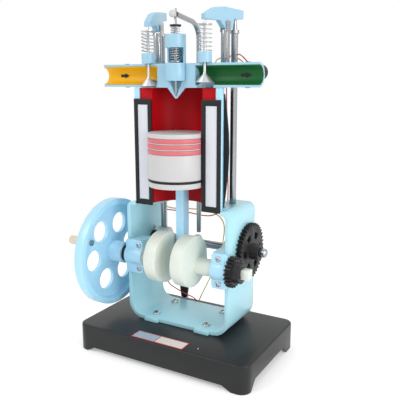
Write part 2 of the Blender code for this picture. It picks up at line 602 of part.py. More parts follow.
def make_crankshaft():
    near_left, near_right = ENGINE_X - LEFT_WEB_INNER, ENGINE_X + RIGHT_WEB_INNER
    left, right = near_left - WEB_THICKNESS, near_right + WEB_THICKNESS
    neck = FRAME_LEFT + LEFT_CAP_WIDTH
    dowel_hole = rod("X", (DOWEL_Y, DOWEL_Z), near_left - DOWEL_LENGTH - GAP, near_left + OVER,
                     DOWEL_RADIUS + GAP)
    solid("left_crank_web", rod("X", (WEB_Y, WEB_Z), left, near_left, WEB_RADIUS, ROUND), WHITE,
          CRANK_PIVOT, (dowel_hole,),
          (turned("X", CRANK_AXIS, [(HUB_END + GAP, JOURNAL_RADIUS), (neck, JOURNAL_RADIUS),
                                    (neck, NARROW_JOURNAL_RADIUS), (left + OVER, NARROW_JOURNAL_RADIUS)]),
           rod("X", (PIN_Y, PIN_Z), left - PIN_BOSS_LENGTH, left + OVER, PIN_BOSS_RADIUS)))
    half = SQUARE_SIDE / 2
    square = [(AXIS_Y + a * half, CRANK_Z + b * half) for a, b in ((-1, -1), (1, -1), (1, 1), (-1, 1))]
    solid("right_crank_web", rod("X", (WEB_Y, WEB_Z), near_right, right, WEB_RADIUS, ROUND), WHITE,
          CRANK_PIVOT, (),
          (rod("X", CRANK_AXIS, right - OVER, GEAR_X - GAP, JOURNAL_RADIUS, ROUND),
           rod("X", (PIN_Y, PIN_Z), right - OVER, right + PIN_BOSS_LENGTH, PIN_BOSS_RADIUS),
           rod("X", CRANK_AXIS, GEAR_X - OVER, SQUARE_END - OVER, NECK_RADIUS),
           prism("X", square, GEAR_BOSS_END + GAP, SQUARE_END)))
    solid("crank_pin", rod("X", (PIN_Y, PIN_Z), near_left + GAP, near_right - GAP, PIN_RADIUS),
          CHROME, CRANK_PIVOT)
    solid("crank_dowel", rod("X", (DOWEL_Y, DOWEL_Z), near_left - DOWEL_LENGTH, near_left - GAP,
                             DOWEL_RADIUS), CHROME, (ENGINE_X, DOWEL_Y, DOWEL_Z))


def make_flywheel():
    web_face = FLYWHEEL_OUT + FLYWHEEL_WEB
    profile = [(FLYWHEEL_OUT, FLYWHEEL_RADIUS), (FLYWHEEL_IN, FLYWHEEL_RADIUS), (FLYWHEEL_IN, FLYWHEEL_RIM),
               (web_face, FLYWHEEL_RIM), (web_face, HUB_RADIUS), (HUB_END, HUB_RADIUS)]
    holes = []
    for index in range(FLYWHEEL_HOLES):
        angle = FLYWHEEL_TURN + 2 * math.pi * index / FLYWHEEL_HOLES
        centre = (AXIS_Y + FLYWHEEL_PITCH * math.cos(angle), CRANK_Z + FLYWHEEL_PITCH * math.sin(angle))
        holes.append(rod("X", centre, FLYWHEEL_OUT - OVER, web_face + OVER, FLYWHEEL_HOLE))
    holes.append(rod("X", (HANDLE_Y, HANDLE_Z), FLYWHEEL_OUT - OVER, web_face + OVER, SPINDLE_RADIUS + GAP))
    solid("flywheel", turned("X", CRANK_AXIS, profile, ROUND + SMALL_ROUND), BLUE, CRANK_PIVOT, holes)
    knob_face = FLYWHEEL_OUT - RUN
    knob_end = KNOB_END_X
    bore = SPINDLE_RADIUS + GAP
    solid("handle_spindle",
          turned("X", (HANDLE_Y, HANDLE_Z), [(knob_end + KNOB_WALL + GAP, SPINDLE_RADIUS),
                                             (web_face + GAP, SPINDLE_RADIUS), (web_face + GAP, SPINDLE_HEAD),
                                             (web_face + GAP + SPINDLE_HEAD_HEIGHT, SPINDLE_HEAD)],
                 SMALL_ROUND), CHROME, CRANK_PIVOT)
    waist = (knob_face + knob_end) / 2
    solid("handle_knob",
          turned("X", (HANDLE_Y, HANDLE_Z), [(knob_end, KNOB_RADIUS - SPINDLE_HEAD_HEIGHT),
                                             (knob_end + SPINDLE_HEAD_HEIGHT, KNOB_RADIUS),
                                             (waist, KNOB_RADIUS),
                                             (knob_face, KNOB_RADIUS - SPINDLE_HEAD_HEIGHT), (knob_face, bore),
                                             (knob_end + KNOB_WALL, bore)], SMALL_ROUND), CREAM,
          (ENGINE_X, HANDLE_Y, HANDLE_Z))


# Gears: involute teeth with some backlash; the cam gear has twice the teeth of the crank gear
PRESSURE = math.radians(20)
BACKLASH = 0.0004
DEDENDUM_SHARE = 1.25
FLANK_SHARES = (0.0, 0.5, 1.0)
CAM_GEAR_WIDTH = 0.0062
CAM_HUB_RADIUS = 0.0097
CAM_HUB_END = 0.084
SLOT_INNER = 0.0155
SLOT_OUTER = 0.0235
SLOT_HALF_ANGLE = math.radians(13)
SLOTS = 6


def gear_outline(teeth, centre, phase):
    """Teeth round a pitch circle, the first centred on the angle phase."""
    pitch = GEAR_MODULE * teeth / 2
    base = pitch * math.cos(PRESSURE)
    root, tip = pitch - DEDENDUM_SHARE * GEAR_MODULE, pitch + GEAR_MODULE
    involute = math.tan(PRESSURE) - PRESSURE
    half_pitch = (math.pi * GEAR_MODULE / 2 - BACKLASH) / (2 * pitch)
    flank = []
    start = max(root, base)
    for share in FLANK_SHARES:
        radius = start + share * (tip - start)
        lean = math.acos(min(1.0, base / radius))
        flank.append((radius, half_pitch + involute - (math.tan(lean) - lean)))
    if root < base:
        flank.insert(0, (root, flank[0][1]))
    points = []
    for tooth in range(teeth):
        middle = phase + 2 * math.pi * tooth / teeth
        for radius, angle in [(r, -a) for r, a in flank] + [(r, a) for r, a in reversed(flank)]:
            points.append((centre[0] + radius * math.cos(middle + angle),
                           centre[1] + radius * math.sin(middle + angle)))
    return points


def make_gears():
    bore = NECK_RADIUS + GAP
    solid("crank_gear",
          plate("X", [gear_outline(CRANK_TEETH, CRANK_AXIS, CAM_RISE),
                      circle(bore, SMALL_ROUND, centre=CRANK_AXIS)], GEAR_X, GEAR_X + GEAR_WIDTH),
          BLACK, CRANK_PIVOT, (),
          (tube("X", CRANK_AXIS, GEAR_X + GEAR_WIDTH - OVER, GEAR_BOSS_END, GEAR_BOSS_RADIUS,
                bore + GAP, SMALL_ROUND),))
    centre = (CAM_Y, CAM_Z)
    phase = CAM_RISE + math.pi + math.pi / CAM_TEETH
    outlines = [gear_outline(CAM_TEETH, centre, phase), circle(SHAFT_RADIUS + GAP, SMALL_ROUND, centre=centre)]
    for index in range(SLOTS):
        middle = 2 * math.pi * index / SLOTS
        outlines.append(circle(SLOT_OUTER, 5, middle - SLOT_HALF_ANGLE, 2 * SLOT_HALF_ANGLE, centre)
                        + circle(SLOT_INNER, 5, middle + SLOT_HALF_ANGLE, -2 * SLOT_HALF_ANGLE, centre))
    solid("cam_gear", plate("X", outlines, GEAR_X, GEAR_X + CAM_GEAR_WIDTH), BLACK, (ENGINE_X, *centre), (),
          (tube("X", centre, GEAR_X + CAM_GEAR_WIDTH - OVER, CAM_HUB_END, CAM_HUB_RADIUS,
                SHAFT_RADIUS + 2 * GAP, SMALL_ROUND),))


# Camshaft: a bar with three cams; the outer two lift the valves and the middle one the injector
CAM_BASE = 0.0103
CAM_LOBE = 0.0146
PUMP_CAM_BASE = 0.0103
PUMP_CAM_LOBE = 0.0123
VALVE_CAM_WIDTH = 0.016
PUMP_CAM_WIDTH = 0.0045
CAM_OPENING = math.radians(65)
INTAKE_LOBE = math.radians(84)
EXHAUST_LOBE = INTAKE_LOBE + math.radians(105)
PUMP_LOBE = INTAKE_LOBE - math.radians(130)
SHAFT_END = 0.092
SHAFT_CAP_RADIUS = 0.0055
SHAFT_ROUNDING = 0.0018


def cam_outline(base, lobe, middle):
    """A base circle with one smooth lobe."""
    points = []
    for step in range(ROUND):
        angle = 2 * math.pi * step / ROUND
        away = abs((angle + math.pi) % (2 * math.pi) - math.pi)
        rise = (1 + math.cos(math.pi * min(away, CAM_OPENING) / CAM_OPENING)) / 2
        radius = base + (lobe - base) * rise
        points.append((CAM_Y + radius * math.cos(middle + angle), CAM_Z + radius * math.sin(middle + angle)))
    return points


def make_camshaft():
    centre = (CAM_Y, CAM_Z)
    pivot = (ENGINE_X, *centre)
    solid("camshaft", turned("X", centre, [(FRAME_LEFT + FRAME_WALL / 2, SHAFT_RADIUS),
                                           (CAM_HUB_END + GAP, SHAFT_RADIUS),
                                           (CAM_HUB_END + GAP, SHAFT_CAP_RADIUS),
                                           (SHAFT_END - SHAFT_ROUNDING, SHAFT_CAP_RADIUS),
                                           (SHAFT_END, SHAFT_CAP_RADIUS - SHAFT_ROUNDING)], SMALL_ROUND),
          CHROME, pivot)
    bore = circle(SHAFT_RADIUS + GAP, SMALL_ROUND, centre=centre)
    for name, x, width, base, lobe, middle in (
            ("intake_cam", ENGINE_X - ROD_OFFSET, VALVE_CAM_WIDTH, CAM_BASE, CAM_LOBE, INTAKE_LOBE),
            ("pump_cam", ENGINE_X, PUMP_CAM_WIDTH, PUMP_CAM_BASE, PUMP_CAM_LOBE, PUMP_LOBE),
            ("exhaust_cam", ENGINE_X + ROD_OFFSET, VALVE_CAM_WIDTH, CAM_BASE, CAM_LOBE, EXHAUST_LOBE)):
        solid(name, plate("X", [cam_outline(base, lobe, middle), bore], x - width / 2, x + width / 2),
              WHITE, pivot)


# Piston with its rings, and the connecting rod with its wrist pin
PISTON_RADIUS = 0.0328
PISTON_FOOT_Z = 0.208
PISTON_CROWN_Z = 0.269
CROWN_THICKNESS = 0.007
CAVITY_RADIUS = 0.029
RING_RADIUS = 0.03295
RING_DEPTH = 0.0015
RING_HEIGHT = 0.0052
RING_LAND = 0.0012
FIRST_RING_TOP_Z = 0.2640
OIL_RING_TOP_Z = 0.2170
OIL_RING_HEIGHT = 0.003
ROD_WIDTH = 0.0105
ROD_DEPTH = 0.0123
ROD_LENGTH = 0.130
BIG_END_RADIUS = 0.0095
SMALL_END_RADIUS = 0.0075
WRIST_RADIUS = 0.0032
WRIST_HALF_LENGTH = 0.019
PISTON_PIVOT = (ENGINE_X, AXIS_Y, PIN_Z)
ROD_PIVOT = (ENGINE_X, PIN_Y, PIN_Z)


def make_piston():
    tops = [FIRST_RING_TOP_Z - index * (RING_HEIGHT + RING_LAND) for index in range(3)]
    slots = [(f"compression_ring_{index + 1}", top, RING_HEIGHT, PINK) for index, top in enumerate(tops)]
    slots.append(("oil_ring", OIL_RING_TOP_Z, OIL_RING_HEIGHT, BLACK))
    groove = RING_RADIUS - RING_DEPTH - GAP
    centre = (ENGINE_X, AXIS_Y)
    profile = [(PISTON_CROWN_Z, PISTON_RADIUS)]
    for name, top, height, material in slots:
        profile += [(top, PISTON_RADIUS), (top, groove), (top - height, groove), (top - height, PISTON_RADIUS)]
        solid(name, tube("Z", centre, top - height + GAP, top - GAP, RING_RADIUS, groove + GAP), material,
              PISTON_PIVOT)
    ceiling = PISTON_CROWN_Z - CROWN_THICKNESS
    profile += [(PISTON_FOOT_Z, PISTON_RADIUS), (PISTON_FOOT_Z, CAVITY_RADIUS), (ceiling, CAVITY_RADIUS)]
    solid("piston", turned("Z", centre, profile), WHITE, PISTON_PIVOT)


def make_connecting_rod():
    wrist_z = PIN_Z + ROD_LENGTH
    low, high = ENGINE_X - ROD_WIDTH / 2, ENGINE_X + ROD_WIDTH / 2
    bar = box((low, PIN_Y - ROD_DEPTH / 2, PIN_Z), (high, PIN_Y + ROD_DEPTH / 2, wrist_z))
    ends = [rod("X", (PIN_Y, PIN_Z), low - GAP, high + GAP, BIG_END_RADIUS, ROUND),
            rod("X", (PIN_Y, wrist_z), low - GAP, high + GAP, SMALL_END_RADIUS)]
    holes = [rod("X", (PIN_Y, PIN_Z), low - OVER, high + OVER, PIN_RADIUS + GAP),
             rod("X", (PIN_Y, wrist_z), low - OVER, high + OVER, WRIST_RADIUS + GAP)]
    solid("connecting_rod", bar, BLUE, ROD_PIVOT, holes, ends)
    solid("wrist_pin", rod("X", (PIN_Y, wrist_z), ENGINE_X - WRIST_HALF_LENGTH, ENGINE_X + WRIST_HALF_LENGTH,
                           WRIST_RADIUS), CHROME, ROD_PIVOT)


# Valve gear: guide tubes and push rods, rockers on forked posts, valves with springs
PUSH_ROD_RADIUS = 0.0025
PUSH_ROD_TIP_RADIUS = 0.0010
PUSH_ROD_DOWN = 0.0021
TUBE_FOOT_Z = CAM_Z + CAM_LOBE + RUN
ROCKER_HEIGHT = 0.0417
ROCKER_Z = HEAD_TOP_Z + ROCKER_HEIGHT
TUBE_TOP_DROP = 0.009
TUBE_TOP_Z = ROCKER_Z - TUBE_TOP_DROP
TUBE_RING_RADIUS = 0.0052
TUBE_RING_HEIGHT = 0.004
ROCKER_THICKNESS = 0.0072
ROCKER_ARM = 0.033
ROCKER_PIN_RADIUS = 0.002
ROCKER_TIP_BACK = 0.0020
ROCKER_TAIL = 0.0110
ROCKER_UNDER = 0.0032
ROCKER_TIP = 0.0086
ROCKER_BROW = 0.0133
ROCKER_BROW_RISE = 0.0164
ROCKER_CREST = 0.0182
ROCKER_TAIL_RISE = 0.0165
ROCKER_SEAT = 0.0070
ROCKER_FOOT = 0.0044
ROCKER_FOOT_FRONT = 0.0044
ROCKER_FOOT_BACK = 0.0085
ROCKER_HOLLOW = 0.0123
ROCKER_STEP = 0.0112
ROCKER_UNDER_Z = ROCKER_Z + ROCKER_UNDER
ROCKER_SEAT_Z = ROCKER_Z + ROCKER_SEAT
CONTACT_GAP = 0.0006
POST_RADIUS = 0.0050
POST_TOP_DROP = 0.006
POST_TOP_Z = ROCKER_Z - POST_TOP_DROP
CHEEK_THICKNESS = 0.0012
CHEEK_HALF_WIDTH = 0.0032
CHEEK_RISE = 0.0032
RETAINER_RADIUS = 0.0082
RETAINER_THICKNESS = 0.001
RETAINER_DROP = 0.0022
RETAINER_Z = ROCKER_Z - RETAINER_DROP
SPRING_WIRE = 0.00055
SPRING_RADIUS = 0.0075
SPRING_CURLS = 6
CURL_POINTS = 8


def train_axes(side):
    """The valve's place, and the unit directions along and across the rocker."""
    valve = Vector((ENGINE_X + side * VALVE_OFFSET, VALVE_Y, 0))
    foot = Vector((ENGINE_X + side * ROD_OFFSET, CAM_Y, 0))
    along = (foot - valve).normalized()
    return valve, foot, along, Vector((along.y, -along.x, 0))


def rocker_outline(side, tilt, low, high):
    """The rocker's side view, tilted about its pin, between two places across it."""
    valve, foot, along, across = train_axes(side)
    reach = (foot - valve).length
    pin = ROCKER_ARM
    tail = reach + ROCKER_TAIL
    upper = [(-ROCKER_TIP_BACK, ROCKER_Z + ROCKER_TIP), (ROCKER_BROW, ROCKER_Z + ROCKER_BROW_RISE),
             (pin - ROCKER_FOOT_FRONT, ROCKER_Z + ROCKER_CREST), (tail, ROCKER_Z + ROCKER_TAIL_RISE)]
    lower = [(tail, ROCKER_SEAT_Z), (pin + ROCKER_STEP, ROCKER_SEAT_Z),
             (pin + ROCKER_FOOT_BACK, ROCKER_Z - ROCKER_FOOT), (pin - ROCKER_FOOT_FRONT, ROCKER_Z - ROCKER_FOOT),
             (pin - ROCKER_HOLLOW, ROCKER_UNDER_Z + GAP), (-ROCKER_TIP_BACK, ROCKER_UNDER_Z)]
    rings = []
    for offset in (low, high):
        ring = []
        for s, z in upper + lower:
            run, rise = s - pin, z - ROCKER_Z
            turned_s = pin + run * math.cos(tilt) - rise * math.sin(tilt)
            turned_z = ROCKER_Z + run * math.sin(tilt) + rise * math.cos(tilt)
            ring.append(valve + along * turned_s + across * offset + Vector((0, 0, turned_z)))
        rings.append(ring)
    return rings


def cross_rod(centre, direction, half_length, radius):
    """A pin along any level direction."""
    other = Vector((0, 0, 1))
    level = direction.cross(other)
    rings = []
    for offset in (-half_length, half_length):
        rings.append([centre + direction * offset + level * a + other * b
                      for a, b in circle(radius, SMALL_ROUND)])
    return loft(rings)


def helix(centre, low, high, radius, curls, wire):
    """Points of a coil spring, its ends run out straight for one wire diameter."""
    steps = curls * CURL_POINTS
    bottom, top = low + wire, high - wire
    points = []
    for step in range(steps + 1):
        angle = 2 * math.pi * step / CURL_POINTS
        points.append(Vector((centre[0] + radius * math.cos(angle), centre[1] + radius * math.sin(angle),
                              bottom + (top - bottom) * step / steps)))
    for end, inner in ((0, 1), (-1, -2)):
        lead = points[end] - points[inner]
        lead.z = 0
        tip = points[end] + lead.normalized() * 2 * wire
        points.insert(0, tip) if end == 0 else points.append(tip)
    return points


def least_gap(points, wire, skip):
    """The narrowest space between turns, measured between points a part of a turn apart."""
    gaps = [(a - b).length - 2 * wire for i, a in enumerate(points) for b in points[i + skip:]]
    return min(gaps)


def spring_piece(name, centre, low, high, radius, curls, wire):
    points = helix(centre, low, high, radius, curls, wire)
    print(name, "least gap to itself, mm:", round(least_gap(points, wire, CURL_POINTS // 2) * 1000, 3))
    curve_piece(name, points, wire, CHROME, (centre[0], centre[1], low))


def make_valve_train(word, side, lift):
    """One valve with its rocker and push rod; lift is how far the valve stands open at rest."""
    valve, foot, along, across = train_axes(side)
    back_arm = (foot - valve).length - ROCKER_ARM
    tilt = lift / ROCKER_ARM
    raised = lift * back_arm / ROCKER_ARM
    pivot = valve + along * ROCKER_ARM + Vector((0, 0, ROCKER_Z))
    half = ROCKER_THICKNESS / 2
    solid(f"{word}_push_rod_tube",
          turned("Z", foot, [(TUBE_FOOT_Z, GUIDE_RADIUS), (TUBE_TOP_Z, GUIDE_RADIUS),
                             (TUBE_TOP_Z, TUBE_RING_RADIUS), (TUBE_TOP_Z + TUBE_RING_HEIGHT, TUBE_RING_RADIUS),
                             (TUBE_TOP_Z + TUBE_RING_HEIGHT, PUSH_ROD_RADIUS + GAP),
                             (TUBE_FOOT_Z, PUSH_ROD_RADIUS + GAP)], SMALL_ROUND, True), CHROME)
    top = ROCKER_SEAT_Z - CONTACT_GAP + raised
    low = TUBE_FOOT_Z + PUSH_ROD_DOWN
    solid(f"{word}_push_rod",
          turned("Z", foot, [(low, PUSH_ROD_RADIUS), (top - PUSH_ROD_TIP_RADIUS, PUSH_ROD_RADIUS),
                             (top, PUSH_ROD_TIP_RADIUS)], SMALL_ROUND), CHROME, (foot.x, foot.y, low))
    hole = cross_rod(pivot, across, half + OVER, ROCKER_PIN_RADIUS + GAP)
    solid(f"{word}_rocker", loft(rocker_outline(side, tilt, -half, half)), BLUE, pivot, (hole,))
    cheeks = []
    for way in (-1, 1):
        near = way * (half + GAP)
        far = way * (half + GAP + CHEEK_THICKNESS)
        rings = []
        for offset in (near, far):
            rings.append([pivot + across * offset + along * a * CHEEK_HALF_WIDTH + Vector((0, 0, b))
                          for a, b in ((-1, POST_TOP_Z - OVER - ROCKER_Z), (1, POST_TOP_Z - OVER - ROCKER_Z),
                                       (1, CHEEK_RISE), (-1, CHEEK_RISE))])
        cheeks.append(loft(rings))
    pin = cross_rod(pivot, across, half + GAP + CHEEK_THICKNESS + GAP, ROCKER_PIN_RADIUS)
    solid(f"{word}_rocker_post", rod("Z", pivot, GUIDE_FLOOR_Z, POST_TOP_Z, POST_RADIUS), CHROME,
          joins=cheeks + [pin])
    drop = -lift
    base = VALVE_CLOSED_Z + drop
    stem_top = ROCKER_UNDER_Z - CONTACT_GAP + drop
    seat = RETAINER_Z + drop
    solid(f"{word}_valve",
          turned("Z", valve, [(base, VALVE_RADIUS - GAP), (base + GAP, VALVE_RADIUS),
                              (base + VALVE_HEIGHT, STEM_NECK_RADIUS),
                              (base + VALVE_HEIGHT + OVER, STEM_RADIUS), (seat, STEM_RADIUS),
                              (seat, RETAINER_RADIUS), (seat + RETAINER_THICKNESS, RETAINER_RADIUS),
                              (seat + RETAINER_THICKNESS, STEM_RADIUS), (stem_top, STEM_RADIUS)],
                 SMALL_ROUND), CHROME, (valve.x, valve.y, base))
    spring_piece(f"{word}_valve_spring", valve, GUIDE_FLOOR_Z + GUIDE_HEIGHT + GAP, seat - GAP,
                 SPRING_RADIUS, SPRING_CURLS, SPRING_WIRE)


# Injector: needle on a threaded rod, two springs, ball knob, and the bent arm down to the pump rod
NEEDLE_TIP_RISE = 0.0027
NEEDLE_TIP_Z = NOZZLE_TIP_Z + NEEDLE_TIP_RISE
NEEDLE_TIP_RADIUS = 0.0004
NEEDLE_POINT_LENGTH = 0.004
COLLAR_RADIUS = 0.0068
COLLAR_RISE = 0.0007
COLLAR_Z = GUIDE_FLOOR_Z + COLLAR_RISE
COLLAR_THICKNESS = 0.0015
WASHER_RADIUS = 0.0061
WASHER_RISE = 0.0085
WASHER_Z = INJECTOR_TOP_Z + WASHER_RISE
WASHER_THICKNESS = 0.0015
ARM_RISE = 0.0213
ARM_Z = INJECTOR_TOP_Z + ARM_RISE
NEEDLE_TOP_RISE = 0.0060
NEEDLE_TOP_Z = ARM_Z + NEEDLE_TOP_RISE
NEEDLE_SPRING_RADIUS = 0.0056
TOP_SPRING_RADIUS = 0.0050
SMALL_WIRE = 0.00045
NEEDLE_SPRING_CURLS = 5
TOP_SPRING_CURLS = 3
ARM_RADIUS = 0.0029
ARM_BEND = 0.020
ARM_BEND_STEPS = 8
ARM_STEM_CLEARANCE = 0.0005
ARM_DROP = 0.004
PUMP_ROD_FOOT_Z = CAM_Z + PUMP_CAM_LOBE + RUN
BALL_RADIUS = 0.004
BALL_ROWS = 8


def make_injector_works():
    centre = (ENGINE_X, AXIS_Y)
    pivot = (ENGINE_X, AXIS_Y, NEEDLE_TIP_Z)
    solid("injector_needle",
          turned("Z", centre, [(NEEDLE_TIP_Z, NEEDLE_TIP_RADIUS),
                               (NEEDLE_TIP_Z + NEEDLE_POINT_LENGTH, NEEDLE_RADIUS),
                               (COLLAR_Z, NEEDLE_RADIUS), (COLLAR_Z, COLLAR_RADIUS),
                               (COLLAR_Z + COLLAR_THICKNESS, COLLAR_RADIUS),
                               (COLLAR_Z + COLLAR_THICKNESS, THREAD_RADIUS), (WASHER_Z, THREAD_RADIUS),
                               (WASHER_Z, WASHER_RADIUS), (WASHER_Z + WASHER_THICKNESS, WASHER_RADIUS),
                               (WASHER_Z + WASHER_THICKNESS, NEEDLE_RADIUS), (NEEDLE_TOP_Z, NEEDLE_RADIUS)],
                 SMALL_ROUND), CHROME, pivot)
    spring_piece("needle_spring", centre, COLLAR_Z + COLLAR_THICKNESS + GAP, INJECTOR_WINDOW_Z - GAP,
                 NEEDLE_SPRING_RADIUS, NEEDLE_SPRING_CURLS, SMALL_WIRE)
    spring_piece("top_spring", centre, INJECTOR_TOP_Z + GAP, WASHER_Z - GAP,
                 TOP_SPRING_RADIUS, TOP_SPRING_CURLS, SMALL_WIRE)
    start = AXIS_Y + NEEDLE_RADIUS + ARM_STEM_CLEARANCE
    bend_z = ARM_Z - ARM_DROP
    points = [(ENGINE_X, start, ARM_Z)]
    for step in range(ARM_BEND_STEPS + 1):
        angle = math.pi / 2 * step / ARM_BEND_STEPS
        points.append((ENGINE_X, PUMP_ROD_Y - ARM_BEND + ARM_BEND * math.sin(angle),
                       bend_z - ARM_BEND + ARM_BEND * math.cos(angle)))
    points.append((ENGINE_X, PUMP_ROD_Y, PUMP_ROD_FOOT_Z))
    curve_piece("injector_arm", points, ARM_RADIUS, CHROME, pivot, 3)
    ball_y = AXIS_Y - NEEDLE_RADIUS - GAP - BALL_RADIUS
    rows = [(ball_y - BALL_RADIUS * math.cos(math.pi * i / BALL_ROWS),
             BALL_RADIUS * math.sin(math.pi * i / BALL_ROWS)) for i in range(1, BALL_ROWS)]
    solid("injector_knob", turned("Y", (ENGINE_X, ARM_Z), rows, SMALL_ROUND), WHITE, pivot)


# Lamps behind the ports, the switch on the base, and the two wires
LAMP_RADIUS = 0.0083
LAMP_LENGTH = 0.011
LAMP_RISE = 0.0028
LAMP_Z = PIPE_Z + LAMP_RISE
LAMP_INSET = 0.0085
LAMP_Y = AXIS_Y + PIPE_OUTER + GAP
SWITCH_X = -0.0380
SWITCH_Y = FRAME_BACK + 0.0062
SWITCH_RADIUS = 0.0055
SWITCH_HEIGHT = 0.0055
SWITCH_WELL = 0.0027
SWITCH_WELL_FLOOR = 0.0012
SWITCH_PIVOT = 0.0045
LEVER_RADIUS = 0.0018
LEVER_FOOT_RADIUS = 0.0009
LEVER_SKIRT = 0.0011
LEVER_SKIRT_RADIUS = 0.0046
LEVER_LENGTH = 0.0150
LEVER_KNOB_RADIUS = 0.0062
LEVER_ROUNDING = 0.0014
WIRE_RADIUS = 0.0007
WIRE_POINTS = 48
RED_ROUTE = ((-0.0186, 0.0570, 0.0337), (-0.0187, 0.0568, 0.0370), (-0.0215, 0.0530, 0.0425),
             (-0.0300, 0.0470, 0.0480), (-0.0420, 0.0455, 0.0530), (-0.0550, 0.0490, 0.0560),
             (-0.0660, 0.0545, 0.0625), (-0.0760, 0.0560, 0.0740), (-0.0840, 0.0570, 0.0950),
             (-0.0860, 0.0570, 0.1200), (-0.0850, 0.0565, 0.1420), (-0.0740, 0.0560, 0.1560),
             (-0.0500, 0.0550, 0.1585), (-0.0263, 0.0545, 0.1580), (-0.0050, 0.0535, 0.1570),
             (0.0100, 0.0525, 0.1600), (0.0270, 0.0510, 0.1720), (0.0310, 0.0495, 0.1900),
             (0.0300, 0.0480, 0.2500), (0.0290, 0.0475, 0.3000), (0.0290, 0.0465, 0.3300),
             (0.0310, 0.0445, 0.3480), (0.0380, 0.0425, 0.3560), (0.0480, 0.0395, 0.3560),
             (0.0560, 0.0330, 0.3530), (0.0640, 0.0270, 0.3480), (0.0720, 0.0220, 0.3425),
             (0.0800, 0.0170, 0.3385), (0.0860, 0.0125, 0.3360), (0.0875, 0.0092, 0.3350))
YELLOW_ROUTE = ((-0.0154, 0.0605, 0.0336), (-0.0150, 0.0605, 0.0400), (0.0032, 0.0590, 0.0769),
                (0.0150, 0.0575, 0.1050), (0.0222, 0.0560, 0.1314), (0.0215, 0.0565, 0.1500),
                (0.0100, 0.0575, 0.1600), (-0.0100, 0.0580, 0.1630), (-0.0350, 0.0582, 0.1620),
                (-0.0560, 0.0580, 0.1605), (-0.0680, 0.0570, 0.1635), (-0.0740, 0.0560, 0.1720),
                (-0.0700, 0.0545, 0.1850), (-0.0560, 0.0530, 0.2050), (-0.0400, 0.0510, 0.2400),
                (-0.0200, 0.0500, 0.2850), (0.0020, 0.0490, 0.3200), (0.0120, 0.0465, 0.3380),
                (0.0156, 0.0440, 0.3480), (0.0210, 0.0410, 0.3515), (0.0340, 0.0385, 0.3540),
                (0.0430, 0.0380, 0.3535), (0.0510, 0.0365, 0.3500), (0.0590, 0.0300, 0.3460),
                (0.0680, 0.0220, 0.3420), (0.0760, 0.0170, 0.3385), (0.0820, 0.0125, 0.3360),
                (0.0836, 0.0092, 0.3350))


def smooth_route(route, count):
    """Evenly spaced points along a smooth curve through the route's own points."""
    points = [Vector(p) for p in route]
    padded = [2 * points[0] - points[1]] + points + [2 * points[-1] - points[-2]]
    fine = []
    for a, b, c, d in zip(padded, padded[1:], padded[2:], padded[3:]):
        for step in range(count // 4):
            t = step / (count // 4)
            fine.append(0.5 * (2 * b + (c - a) * t + (2 * a - 5 * b + 4 * c - d) * t * t
                               + (3 * b - a - 3 * c + d) * t * t * t))
    fine.append(points[-1])
    walked = [0.0]
    for before, after in zip(fine, fine[1:]):
        walked.append(walked[-1] + (after - before).length)
    even, place_now = [], 0
    for step in range(count):
        goal = walked[-1] * step / (count - 1)
        while place_now < len(fine) - 2 and walked[place_now + 1] < goal:
            place_now += 1
        span = walked[place_now + 1] - walked[place_now]
        even.append(fine[place_now].lerp(fine[place_now + 1], min(1.0, (goal - walked[place_now]) / span)))
    return even, walked[-1]


def make_lamps_switch_wires():
    for word, x in (("intake", HEAD_LEFT + LAMP_INSET), ("exhaust", HEAD_RIGHT - LAMP_INSET)):
        solid(f"{word}_lamp", turned("Y", (x, LAMP_Z), [(LAMP_Y, LAMP_RADIUS),
                                                        (LAMP_Y + LAMP_LENGTH - OVER, LAMP_RADIUS),
                                                        (LAMP_Y + LAMP_LENGTH, LAMP_RADIUS - OVER)],
                                     SMALL_ROUND), BLACK)
    centre = (SWITCH_X, SWITCH_Y)
    foot = FRAME_BOTTOM
    top = foot + SWITCH_HEIGHT
    solid("switch_body", rod("Z", centre, foot, top, SWITCH_RADIUS), CHROME,
          cuts=(rod("Z", centre, foot + SWITCH_WELL_FLOOR, top + OVER, SWITCH_WELL),))
    skirt = top + LEVER_SKIRT
    crown = skirt + LEVER_LENGTH
    solid("switch_lever", turned("Z", centre, [(foot + SWITCH_WELL_FLOOR + GAP, LEVER_FOOT_RADIUS),
                                               (foot + SWITCH_PIVOT, LEVER_RADIUS), (skirt, LEVER_RADIUS),
                                               (skirt, LEVER_SKIRT_RADIUS),
                                               (crown - LEVER_ROUNDING, LEVER_KNOB_RADIUS),
                                               (crown, LEVER_KNOB_RADIUS - LEVER_ROUNDING)], SMALL_ROUND), BLACK,
          (SWITCH_X, SWITCH_Y, foot + SWITCH_PIVOT))
    for name, route, material in (("red_wire", RED_ROUTE, RED), ("yellow_wire", YELLOW_ROUTE, YELLOW)):
        points, length = smooth_route(route, WIRE_POINTS)
        print(name, "length, mm:", round(length * 1000, 1))
        curve_piece(name, points, WIRE_RADIUS, material, sides=2)


